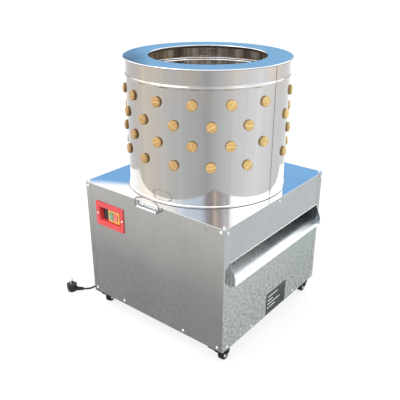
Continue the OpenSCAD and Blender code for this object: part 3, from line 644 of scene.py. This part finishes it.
def make_gland():
    b = Build()
    b.m = move(-300, 120, 120) @ turn("Y", -90)
    hexa = lambda r, n=6: [(r*math.cos(math.radians(60*k + 30)), r*math.sin(math.radians(60*k + 30))) for k in range(n)]
    for r, z0, z1 in ((12.5, -6, -2), (13, 0.05, 8)):
        rings = [[(x*q, y*q, z) for x, y in hexa(r)] for q, z in ((0.93, z0), (1.0, z0 + 0.8), (1.0, z1 - 0.8), (0.93, z1))]
        b.loft(rings, True, True)
    b.lathe([(8, -10), (8, 2)], 40)
    prof = [(10.4, 7.5), (10.6, 9)]
    b.lathe(prof + [(10.6, 16)] + arc(7.6, 16, 3.0, 0, 90, 6) + [(5.2, 19.2)], 40)
    for k in range(24):
        q = b.m
        b.m = q @ turn("Z", 15*k)
        b.loft([[(10.4, -0.6, 9.2), (11.2, -0.35, 9.6), (11.2, 0.35, 9.6), (10.4, 0.6, 9.2)], [(10.4, -0.6, 16.2), (11.1, -0.35, 15.8), (11.1, 0.35, 15.8), (10.4, 0.6, 16.2)]], True, True)
        b.m = q
    sleeve, z = [(6.5, 18.5), (6.5, 20)], 20.5
    while z < 43:
        r = 6.4 - (z - 20.5)*(6.4 - 4.5)/22.5
        sleeve += [(r, z), (r, z + 1.5), (r - 0.7, z + 1.8), (r - 0.75, z + 2.5)]
        z += 2.8
    sleeve += [(4.3, 44.2), (4.2, 45), (3.6, 45)]
    b.lathe(sleeve, 32)
    return put(b.done("gland", M_PLUG), "chassis", "black_plastic", "cord_gland")


make_gland()

# ---------------------------------------------------------------- drum
Z1, ZT, DR = 508.0, 933.0, 268.0


def drum_profile(r, w=7.0):
    """Radius and height up one side of the wall, bead included."""
    out = [(r, Z1 + 2.1), (r, Z1 + 12), (r, Z1 + 60), (r, Z1 + 120), (r, Z1 + 180), (r, Z1 + 240), (r, Z1 + 300), (r, Z1 + 350), (r, Z1 + 368.5 - w)]
    n = 18
    for i in range(n + 1):
        t = -1 + 2*i/n
        out.append((r + 3.5*(0.5 + 0.5*math.cos(math.pi*t)), Z1 + 370 + w*t))
    return out + [(r, Z1 + 371.5 + w), (r, Z1 + 400), (r, ZT - 1.6)]


def make_drum():
    b = Build()
    out, back = drum_profile(DR), drum_profile(DR - 1.5, 9.5)
    b.lathe([back[0]] + out + [back[-1]], 320)
    low = [k for k, (r, z) in enumerate(back) if z < Z1 + 361.5][-1]
    high = [k for k, (r, z) in enumerate(back) if z > Z1 + 371.5][0]
    # the bead band inside gets the painted-highlight material
    for slot, rows in ((1, back[high:]), (2, back[low:high + 1]), (1, back[:low + 1])):
        b.slot = slot
        b.lathe(rows[::-1], 320)
    b.slot = 0
    # lap seam: the outer sheet edge laid over the inner, with a thin weld line beside it
    side = drum_profile(DR)
    a0 = -1.3
    step = math.degrees(1.0/DR)
    cols = [(-7.0, 0.03), (-6.4, 0.75), (-3.0, 0.85), (3.0, 0.85), (6.4, 0.8), (7.0, 0.03)]
    rings = []
    for off, h in cols:
        a = math.radians(a0 + off*step)
        rings.append([((r + h)*math.cos(a), (r + h)*math.sin(a), z) for r, z in side])
    ks = [b.add(r) for r in rings]
    for p, q in zip(ks, ks[1:]):
        for i in range(len(side) - 1):
            b.face(p + i, q + i, q + i + 1, p + i + 1)
    return put(b.done("drum_wall", [M_DRUM, M_INNER, M_BEAD_PAINTED_HIGHLIGHT], 50), "chassis", "sheet_steel", "drum_shell")


make_drum()


def make_ring():
    b = Build()
    ri, ro, t = 193.4, 275.6, 1.5
    top = arc(ri + 2.6, ZT - 2.6, 2.6, 180, 90, 8) + [(ri + 8, ZT), (ri + 40, ZT - 0.25), (ro - 40, ZT - 0.25), (ro - 8, ZT)] + arc(ro - 2.6, ZT - 2.6, 2.6, 90, 0, 8)
    prof = [(ri, ZT - 9.6)] + top + [(ro, ZT - 3.9), (ro - 0.35, ZT - 4.3), (ro - 1.1, ZT - 4.3), (ro - 1.4, ZT - 3.9), (ro - 1.4, ZT - 2.6), (ro - 2.6, ZT - t),
            (ri + 2.6, ZT - t), (ri + 1.4, ZT - 2.6), (ri + 1.4, ZT - 9.6), (ri + 1.1, ZT - 10), (ri + 0.3, ZT - 10)]
    b.lathe(prof, 320, closed=True)
    return put(b.done("drum_top_ring", M_RING, 40), "chassis", "sheet_steel", "drum_ring")


make_ring()


def make_flange():
    b = Build()
    b.lathe([(DR + 10, Z1 + 1.95), (DR + 9.4, Z1 + 1.95), (DR + 2.8, Z1 + 1.95), (DR + 1.9, Z1 + 1.98), (DR + 0.9, Z1 + 2.6), (DR + 0.1, Z1 + 4.2), (DR - 1.5, Z1 + 4.2)], 320)
    # painted shade: the flange's rounded edge and underside are dark, as the contact shadow round the foot
    b.slot = 1
    b.lathe([(DR - 1.5, Z1 + 4.2), (DR - 1.5, Z1 + 0.05), (DR + 10, Z1 + 0.05)] + arc(DR + 10, Z1 + 1.0, 0.95, -90, 90, 8), 320)
    return put(b.done("drum_foot", [M_DECK, M_FLANGE_EDGE_SHADE], 40), "chassis", "sheet_steel", "drum_flange")


make_flange()

# ---------------------------------------------------------------- plucking fingers
FL = 90.0


def head_height(r):
    if r < 11.0:
        return 10.4 - 0.9*(r/11.0)**2
    t = min(1.0, (r - 11.0)/5.5)
    return 4.2 + 5.3*math.sqrt(max(0.0, 1 - t*t))


def finger(b, neck, spin):
    """One ribbed finger: head below Z=0, shank above it."""
    prof = [(0, -10.4)] + [(r, -head_height(r)) for r in (3, 6, 9, 11, 13, 14.4, 15.5, 16.2, 16.45)]
    prof += [(16.5, -3.4), (16.4, -1.6), (15.9, -0.5), (15.2, 0), (10.7, 0), (10.7, neck), (13.3, neck), (13.6, neck + 1.4), (13.4, neck + 3.8), (11.6, neck + 6.2)]
    z = neck + 8.0
    while z < FL - 9:
        r = 10.4 - (z - neck - 8)*(10.4 - 6.6)/(FL - 17 - neck)
        prof += [(r - 0.9, z), (r - 0.9, z + 1.6), (r, z + 2.3), (r + 0.15, z + 3.4), (r, z + 4.5)]
        z += 5.6
    prof += [(6.2, FL - 6.5), (5.6, FL - 3.6), (4.3, FL - 1.5), (2.3, FL - 0.4), (0, FL)]
    # painted light: the face of each head is painted lighter and the rim and shank darker, on top of the finger's
    # random tone
    tone = b.shade
    b.lathe(prof, 22, shades=[0.45*tone + (0.55 if z < -9 else 0.45 if z < -7.5 else 0.2 if z < -4 else 0.0) for r, z in prof])
    b.shade = tone
    keep = b.m
    b.m = keep @ turn("Z", spin)
    rings = []
    for i in range(13):
        u = -15.6 + 31.2*i/12
        top = head_height(abs(u))
        taper = min(1.0, (15.9 - abs(u))/2.2)
        w, h = 2.1, 0.15 + 1.5*taper
        rings.append([(u, w*math.cos(math.radians(a))*(1.0 if a in (0, 180) else 0.86), -(top - 0.5) - (h + 0.5)*math.sin(math.radians(a))) for a in (0, 30, 60, 90, 120, 150, 180)])
    b.slot = 1
    b.loft(rings, True, True)
    b.slot = 0
    b.m = keep


def make_fingers():
    rows = [321, 257, 197, 132]
    start = [-12.6, -25.0, -12.6, -25.0]
    spins = [140, 35, 150, 88, 60, 120, 20, 100, 165, 50, 75, 130, 10, 95]
    b = Build()
    rng = random.Random(11)
    for r in range(4):
        for k in range(14):
            b.shade = rng.random()
            b.m = turn("Z", start[r] - 24.6*k) @ move(DR + 0.05, 0, Z1 + rows[r]) @ turn("Y", -90)
            finger(b, 2.3, spins[(k + 3*r) % 14] + rng.uniform(-12, 12))
    put(b.done("wall_fingers", [M_FINGER, M_RIDGE], 40), "chassis", "finger_rubber", "drum_fingers")
    b = Build()
    spots = [(112, 45*k) for k in range(8)] + [(205, 360/14*k + 9) for k in range(14)]
    for rad, a in spots:
        b.shade = rng.random()
        b.m = turn("Z", a) @ move(rad, 0, 521 - 0.05)
        finger(b, 3.15, rng.uniform(0, 180))
    put(b.done("rotor_fingers", [M_FINGER, M_RIDGE], 40), "rotor", "finger_rubber", "plate_fingers")


make_fingers()


# ---------------------------------------------------------------- screws
def screw_head(b, washer, head, height, cross):
    """Pan head on a thin washer with a cross recess, standing on Z=0."""
    if washer:
        b.lathe([(0, 0.02), (washer - 0.3, 0.02), (washer, 0.3), (washer, 0.75), (washer - 0.3, 1.0), (head - 0.6, 1.0)], 28)
    base = 1.0 if washer else 0.02
    prof = [(head, base), (head, base + 0.35)]
    b.lathe(prof, 32)
    rows, n = [], 32
    radii = [head*math.sin(math.radians(a)) for a in (90, 80, 68, 56, 45, 35, 26, 18, 11, 5)]
    for r in radii:
        ring = []
        for k in range(n):
            x, y = r*math.cos(2*math.pi*k/n), r*math.sin(2*math.pi*k/n)
            z = base + 0.35 + (height - base - 0.35)*math.sqrt(max(0.0, 1 - (r/head)**2))
            arm = min(max(abs(x) - 0.17*head, abs(y) - cross), max(abs(y) - 0.17*head, abs(x) - cross))
            if arm < 0:
                z -= min(1.0, -arm*3.0)*0.95*(1 - 0.5*r/cross)
            ring.append((x, y, z))
        rows.append(ring)
    b.loft(rows, False, True)


def make_screws():
    z0, z1 = 70, 508
    side = [(-279, z0 + 14), (-138, z0 + 14), (138, z0 + 14), (279, z0 + 14), (-286, z1 - 12), (286, z1 - 12)]
    chute = [(-277, z0 + 13), (-138, z0 + 13), (138, z0 + 13), (277, z0 + 13), (-286, z1 - 14), (286, z1 - 14), (0, z1 - 14)]
    b = Build()
    rng = random.Random(5)
    for angs, spots in (((0, 180), side), ((90, 270), chute)):
        for a in angs:
            for x, z in spots:
                b.m = turn("Z", a) @ move(x, -300, z) @ turn("X", 90) @ turn("Z", rng.uniform(0, 90))
                screw_head(b, 5.2, 4.1, 3.6, 2.4)
                b.lathe([(2, -10.5), (2, 0.4)], 12)
    for i in (-1, 1):
        for j in (-1, 1):
            b.m = move(i*289, j*289, z1) @ turn("Z", rng.uniform(0, 90))
            screw_head(b, 5.2, 4.1, 3.6, 2.4)
    put(b.done("panel_screw_set", M_BRIGHT, 30), "chassis", "bright_fastener", "panel_screws")
    b = Build()
    for x, spin in ((-241, 50), (-123.5, -10)):
        b.m = move(x, -303.5, 405.5) @ turn("X", 90) @ turn("Z", spin)
        screw_head(b, 0, 4.0, 2.2, 2.2)
    put(b.done("switch_screw_set", M_BRIGHT, 30), "chassis", "bright_fastener", "switch_screws")
    b = Build()
    for a in (0, 180):
        for x in (-26, 26):
            b.m = turn("Z", a) @ move(x, -301.5, 496) @ turn("X", 90)
            b.lathe([(4.2, 0.02), (4.2, 0.3), (3.9, 1.0), (3.2, 1.6), (2.2, 2.0), (1.5, 2.1), (1.2, 1.5), (0, 1.5)], 28)
    put(b.done("handle_rivet_set", M_BRIGHT, 40), "chassis", "bright_fastener", "handle_rivets")


make_screws()


# ---------------------------------------------------------------- handles
def bail_route():
    leg, cr, ar, top = 51.0, 9.0, 97.5, 40.0
    aa = math.degrees(math.asin((leg - cr)/(ar - cr)))
    zc = top - ar
    cz = zc + (ar - cr)*math.cos(math.radians(aa))
    half = [(28.0, 0.0), (34.0, 0.0), (40.0, 0.0)] + arc(leg - 6, 6, 6, -90, 0, 8) + [(leg, 6 + (cz - 6)*t) for t in (0.35, 0.7)]
    half += arc(leg - cr, cz, cr, 0, 90 - aa, 10) + arc(0, zc, ar, 90 - aa, 90, 14)[1:]
    return half + [(-x, z) for x, z in half[::-1][1:]]


def make_bails():
    for name, a, body in (("front_bail", 0, "front_handle"), ("rear_bail", 180, "rear_handle")):
        b = Build()
        b.m = turn("Z", a)
        b.tube([(x, -308.5, 489 + z) for x, z in bail_route()], 2.1, 18)
        put(b.done(name + "_wire", M_WIRE, 50), body, "bright_fastener", name)


make_bails()


def make_handle_plates():
    b = Build()
    for a in (0, 180):
        b.m = turn("Z", a)
        # back plate, softened at its edges
        rings = [[(p[0], y, 495.5 + p[1]) for p in rrect(w, h, 2.2, 4)] for y, w, h in ((-300.02, 80, 22), (-301.1, 80, 22), (-301.5, 79.2, 21.2))]
        b.loft(rings, True, True)
        # the sheet runs out from the plate's foot and rolls up round the wire
        out = [(-300.6, 484.5), (-304, 484.5), (-308.5, 484.5)]
        path = out[:-1] + [(-308.5 + 4.5*math.cos(math.radians(t)), 489 + 4.5*math.sin(math.radians(t))) for t in range(270, -61, -15)]
        inner = [(-300.6, 486.0), (-304, 486.0)] + [(-308.5 + 2.7*math.cos(math.radians(t)), 489 + 2.7*math.sin(math.radians(t))) for t in range(270, -61, -15)]
        loop = path + inner[::-1]
        rings = [[(x, y, z) for y, z in loop] for x in (-42, -41.6, 41.6, 42)]
        b.loft(rings, True, True)
    return put(b.done("handle_brackets", M_HANDLE, 30), "chassis", "bright_fastener", "handle_plates")


make_handle_plates()


# ---------------------------------------------------------------- switch
SX, SZ = -183.5, 405.5


def ring_at(w, h, r, y, dx=0.0, dz=0.0, n=6):
    return [(SX + dx + p[0], y, SZ + dz + p[1]) for p in rrect(w, h, r, n)]


def make_switch():
    b = Build()
    b.loft([ring_at(103, 53, 3, -280), ring_at(103, 53, 3, -300.1), ring_at(133, 89.5, 2.6, -300.1, -0.8), ring_at(133, 89.5, 2.6, -302.2, -0.8), ring_at(132.5, 89, 2.4, -302.9, -0.8),
            ring_at(131.6, 88.1, 2.2, -303.35, -0.8), ring_at(130.2, 86.7, 2.0, -303.5, -0.8), ring_at(104.4, 54.4, 3.4, -303.4), ring_at(102.4, 52.4, 3.0, -303), ring_at(101, 51, 2.8, -302),
            ring_at(100, 50, 2.6, -300.6), ring_at(98.6, 48.6, 2.6, -283), ring_at(97.4, 47.4, 2.4, -282)], True, True)
    put(b.done("switch_frame", M_RED, 35), "chassis", "red_plastic", "switch_housing")
    b = Build()
    b.loft([ring_at(82, 43, 4, -282.05, -0.5), ring_at(82, 43, 4, -290.0, -0.5), ring_at(81, 42, 3.6, -290.8, -0.5), ring_at(79, 40, 3.2, -291.05, -0.5)], True, True)
    for dz in (-13.0, 0.0, 13.0):
        b.m = move(-211, -292.0, SZ + dz) @ turn("X", 90)
        b.lathe([(2.6, 0), (2.6, 0.5), (2.1, 1.0), (1.0, 1.25), (0, 1.3)], 20)
    b.m = Matrix.Identity(4)
    b.loft([ring_at(18, 39, 1.5, -291, -27.5), ring_at(17.4, 38.4, 1.4, -292.0, -27.5)], True, True)
    put(b.done("switch_block", M_BLACK, 35), "chassis", "black_plastic", "switch_body")
    b = Build()
    b.loft([ring_at(54, 44, 3, -291.05, 13.5), ring_at(54, 44, 3, -295.6, 13.5), ring_at(53.2, 43.2, 2.8, -296.6, 13.5), ring_at(51.6, 41.6, 2.4, -297.05, 13.5),
            ring_at(41.2, 30.4, 2.0, -297.05, 13.25), ring_at(40.4, 29.4, 1.6, -296.5, 13.25), ring_at(40.0, 28.6, 1.2, -295.4, 13.25), ring_at(40.0, 28.6, 1.2, -291.05, 13.25)], closed=True)
    b.loft([[(-170.25 + p[0], y, SZ + p[1]) for p in rrect(w, 29.0, 0.4, 3)] for y, w in ((-291.05, 1.3), (-296.2, 1.3), (-296.8, 0.9))], True, True)
    put(b.done("switch_surround", M_YELLOW, 35), "chassis", "yellow_plastic", "switch_bezel")
    for name, x, mat, slot, body, face in (("start_button", -180.5, M_GREEN, "green_plastic", "start_push", 0.0), ("stop_button", -160, M_REDBTN, "red_button", "stop_push", 0.0)):
        b = Build()
        sec = [(18, 27, 2, -289), (18, 27, 2, -298.4), (17.4, 26.4, 2.0, -299.2), (15.6, 24.6, 2.4, -300.1), (13.6, 22.4, 3.0, -300.5)]
        b.loft([[(x + p[0], y, SZ + p[1]) for p in rrect(w, h, r, 5)] for w, h, r, y in sec], True, False)
        # dished face
        rings = []
        for q, dy in ((1.0, 0.0), (0.86, 0.12), (0.66, 0.42), (0.4, 0.66), (0.16, 0.76)):
            rings.append([(x + p[0]*q, -300.5 + dy, SZ + p[1]*q) for p in rrect(13.6, 22.4, 3.0, 5)])
        b.loft(rings, False, True)
        put(b.done(name + "_cap", mat, 40), body, slot, name)


make_switch()


# ---------------------------------------------------------------- data plate
def make_plate():
    b = Build()
    cy, cz = 17.0, 115.5

    def ring(w, h, r, x, n=4):
        return [(x, cy + p[0], cz + p[1]) for p in rrect(w, h, r, n)]
    b.loft([ring(126, 83, 1.5, 300.02), ring(126, 83, 1.5, 300.8), ring(125.4, 82.4, 1.4, 301.0), ring(122, 79, 1.2, 301.0), ring(121.6, 78.6, 1.2, 300.9)], True, True)
    b.slot = 1
    for y0, y1, z in ((-38.0, 28.0, 143.2), (-40.0, -4.5, 128.3), (-38.5, 42.0, 113.9), (-41.0, 12.0, 99.5)):
        b.loft([[(x, (y0 + y1)/2 + p[0], z + p[1]) for p in rrect(y1 - y0, 3.2, 0.7, 2)] for x in (300.88, 301.0)], False, True)
    put(b.done("data_plate_blank", [M_PLATE, M_RULE], 35), "chassis", "data_plate", "data_plate")


make_plate()


# ---------------------------------------------------------------- chute
def make_hem():
    """Rolled hem along the top of the chute slot."""
    b = Build()
    b.tube([(300.2, y, 387.6) for y in (-271.6, -271, -180, -90, 0, 90, 180, 271, 271.6)], [0.9] + [1.7]*7 + [0.9], 14)
    put(b.done("slot_hem", M_HANDLE, 40), "chassis", "sheet_steel")


make_hem()


# ---------------------------------------------------------------- casters
def make_casters():
    for tag, i, j, ang in (("fl", -1, -1, 202), ("fr", 1, -1, 186), ("rl", -1, 1, 196), ("rr", 1, 1, 188)):
        base = move(i*268, j*262, 0) @ turn("Z", ang) @ move(0, -18, 25) @ turn("Y", 90)
        b = Build()
        b.m = base
        side = [(16.0, 9.2), (16.6, 9.9), (22.2, 9.9), (23.4, 9.4), (24.3, 8.2), (24.8, 6.2), (25.0, 3.6), (25.0, 1.2)]
        b.lathe(side + [(24.7, 0.9), (24.7, -0.9)] + [(r, -z) for r, z in side[::-1]], 56)
        b.slot = 1
        for s in (-1, 1):
            b.lathe([(4.06, 0), (4.06, 11.0*s), (8.4, 11.0*s), (9.0, 10.6*s), (9.4, 8.4*s), (12.4, 7.7*s), (15.4, 7.9*s), (15.9, 8.6*s), (16.0, 9.2*s)], 56)
            for k in range(5):
                b.m = base @ turn("Z", 72*k)
                b.loft([[(x, y, s*z) for x, y in ((9.2, -1.3), (15.8, -1.0), (15.8, 1.0), (9.2, 1.3))] for z in (7.2, 9.0)], True, True)
            b.m = base
        put(b.done("caster_tyre_" + tag, [M_WHEEL, M_BRIGHT], 35), "roller_" + tag, "wheel_rubber", "caster_wheel_" + tag)


make_casters()

# ---------------------------------------------------------------- finishes of the frame pieces
FINISH = {
    "sheet": (M_SKIN, ["front_skin", "rear_skin"]),
    "deck": (M_DECK, ["deck_plate"]),
    "chute": (M_TRAY, ["chute_tray"]),
    "cheek": (M_CHEEK, ["chute_cheeks"]),
    "plate": (M_DECK, ["feather_plate", "hub_cap"]),
    "frame": (M_FRAME, ["frame_rails", "corner_posts", "drive_beams", "corner_gussets", "motor_plate"]),
    "cast": (M_CAST, ["bearing_housing", "plate_hub", "driven_pulley", "motor_pulley"]),
    "shaft": (M_SHAFT, ["shaft_bearings", "main_shaft", "motor_shaft"]),
    "belt": (M_BELT, ["drive_belt", "motor_fan"]),
    "motor": (M_MOTOR, ["motor_body", "motor_fan_cover", "motor_terminal_box"]),
    "caster": (M_CASTER, ["caster_plates"] + ["caster_fork_" + t for t in ("fl", "fr", "rl", "rr")]),
    "zinc": (M_BRIGHT, ["caster_bolts"] + ["caster_axle_" + t for t in ("fl", "fr", "rl", "rr")]),
}
for mat, names in FINISH.values():
    for n in names:
        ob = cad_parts[n]
        ob.data.materials.clear()
        ob.data.materials.append(mat)


# ---------------------------------------------------------------- floor, world and light
def make_floor():
    m = Mat("floor_pale", rough=0.75, spec=0.2)
    m.color(m.mix(m.span(m.noise(1.2, 4.0, 0.6), 0.3, 0.7, 0.0, 1.0), (0.19, 0.19, 0.189), (0.21, 0.21, 0.21)))
    m.b.inputs["Emission Color"].default_value = (1.0, 1.0, 1.0, 1.0)
    m.b.inputs["Emission Strength"].default_value = 0.78
    me = bpy.data.meshes.new("floor")
    s = 90.0
    me.from_pydata([(-s, -s, 0), (s, -s, 0), (s, s, 0), (-s, s, 0)], [], [(0, 1, 2, 3)])
    me.materials.append(m.m)
    ob = bpy.data.objects.new("floor", me)
    scene.collection.objects.link(ob)


def make_world():
    """White dome, a clear blue quarter behind the machine and a large soft source over the viewer."""
    w = bpy.data.worlds.new("studio")
    w.use_nodes = True
    nt = w.node_tree
    bg = nt.nodes["Background"]

    def node(kind, **kw):
        n = nt.nodes.new(kind)
        for k, v in kw.items():
            setattr(n, k, v)
        return n

    def math2(op, a, b):
        n = node("ShaderNodeMath", operation=op)
        for s, v in zip(n.inputs, (a, b)):
            if hasattr(v, "is_linked"):
                nt.links.new(v, s)
            else:
                s.default_value = v
        return n.outputs[0]

    def ramp(fac, stops):
        n = node("ShaderNodeValToRGB")
        cr = n.color_ramp
        while len(cr.elements) < len(stops):
            cr.elements.new(0.5)
        for e, (p, c) in zip(cr.elements, stops):
            e.position = p
            e.color = (c[0], c[1], c[2], 1.0) if hasattr(c, "__len__") else (c, c, c, 1.0)
        nt.links.new(fac, n.inputs["Fac"])
        return n.outputs["Color"]

    def window(v, a, b):
        n = node("ShaderNodeMapRange", interpolation_type="SMOOTHSTEP")
        n.inputs["From Min"].default_value, n.inputs["From Max"].default_value = a, b
        nt.links.new(v, n.inputs["Value"])
        return n.outputs["Result"]

    def mix(fac, a, b):
        n = node("ShaderNodeMix", data_type="RGBA")
        nt.links.new(fac, n.inputs[0])
        nt.links.new(a, n.inputs[6])
        nt.links.new(b, n.inputs[7])
        return n.outputs[2]

    sep = node("ShaderNodeSeparateXYZ")
    nt.links.new(node("ShaderNodeTexCoord").outputs["Generated"], sep.inputs[0])
    x, y, z = sep.outputs
    flat = math2("MAXIMUM", math2("SQRT", math2("ADD", math2("MULTIPLY", x, x), math2("MULTIPLY", y, y)), 0.0), 0.001)
    ahead = math2("DIVIDE", math2("ADD", math2("MULTIPLY", x, -0.6217), math2("MULTIPLY", y, 0.7833)), flat)
    dome = ramp(z, [(0.0, 0.95), (0.26, 1.05), (0.34, 2.4), (0.52, 2.4), (0.64, 1.2), (1.0, 1.15)])
    across = math2("DIVIDE", math2("ADD", math2("MULTIPLY", x, 0.7833), math2("MULTIPLY", y, 0.6217)), flat)
    lean = math2("SUBTRACT", z, math2("MULTIPLY", across, 0.12))
    blue = ramp(lean, [(0.0, (0.55, 0.72, 0.92)), (0.12, (0.27, 0.52, 0.79)), (0.24, (0.25, 0.51, 0.81)), (0.3925, (0.23, 0.49, 0.84)), (0.3965, (1.2, 1.22, 1.25)), (1.0, (1.15, 1.15, 1.15))])
    # a dark card low on the left
    card = math2("MULTIPLY", window(math2("MULTIPLY", across, -1.0), 0.085, 0.125), window(z, 0.148, 0.168))
    blue = mix(math2("MULTIPLY", card, window(math2("MULTIPLY", z, -1.0), -0.28, -0.22)), blue, ramp(z, [(0.0, (0.10, 0.15, 0.24)), (1.0, (0.10, 0.15, 0.24))]))
    soft = ramp(z, [(0.0, 0.95), (0.24, 1.1), (0.34, 2.6), (0.66, 2.5), (0.85, 1.3), (1.0, 1.15)])
    sky = mix(window(ahead, 0.9455, 0.968), dome, blue)
    cloud = node("ShaderNodeTexNoise")
    cloud.inputs["Scale"].default_value = 7.0
    cloud.inputs["Detail"].default_value = 3.0
    shift = math2("MULTIPLY", math2("SUBTRACT", cloud.outputs["Fac"], 0.5), 0.22)
    cards = ramp(math2("ADD", math2("MULTIPLY", math2("ADD", across, 1.0), 0.5), shift), [(0.10, (2.4, 2.4, 2.35)), (0.22, (1.75, 1.95, 2.2)), (0.42, (1.75, 1.95, 2.2)), (0.52, (0.95, 0.83, 0.82)),
            (0.56, (0.92, 0.80, 0.79)), (0.60, (1.7, 1.45, 1.1)), (0.64, (0.95, 0.82, 0.80)), (0.71, (1.05, 0.96, 0.97)), (0.82, (2.6, 2.6, 2.6))])
    soft = mix(math2("MULTIPLY", window(z, 0.30, 0.36), window(math2("MULTIPLY", z, -1.0), -0.56, -0.48)), soft, cards)
    sky = mix(window(math2("MULTIPLY", ahead, -1.0), 0.25, 0.65), sky, soft)
    nt.links.new(sky, bg.inputs["Color"])
    bg.inputs["Strength"].default_value = 1.0
    scene.world = w


def make_light():
    li = bpy.data.lights.new("key", "AREA")
    li.shape = "RECTANGLE"
    li.size, li.size_y = 3.0, 3.0
    li.energy = 90.0
    ob = bpy.data.objects.new("key", li)
    scene.collection.objects.link(ob)
    ob.location = (-1.6, -2.6, 4.2)
    d = Vector((0, 0, 0.4)) - Vector(ob.location)
    ob.rotation_euler = d.to_track_quat("-Z", "Y").to_euler()


make_floor()
make_world()
make_light()
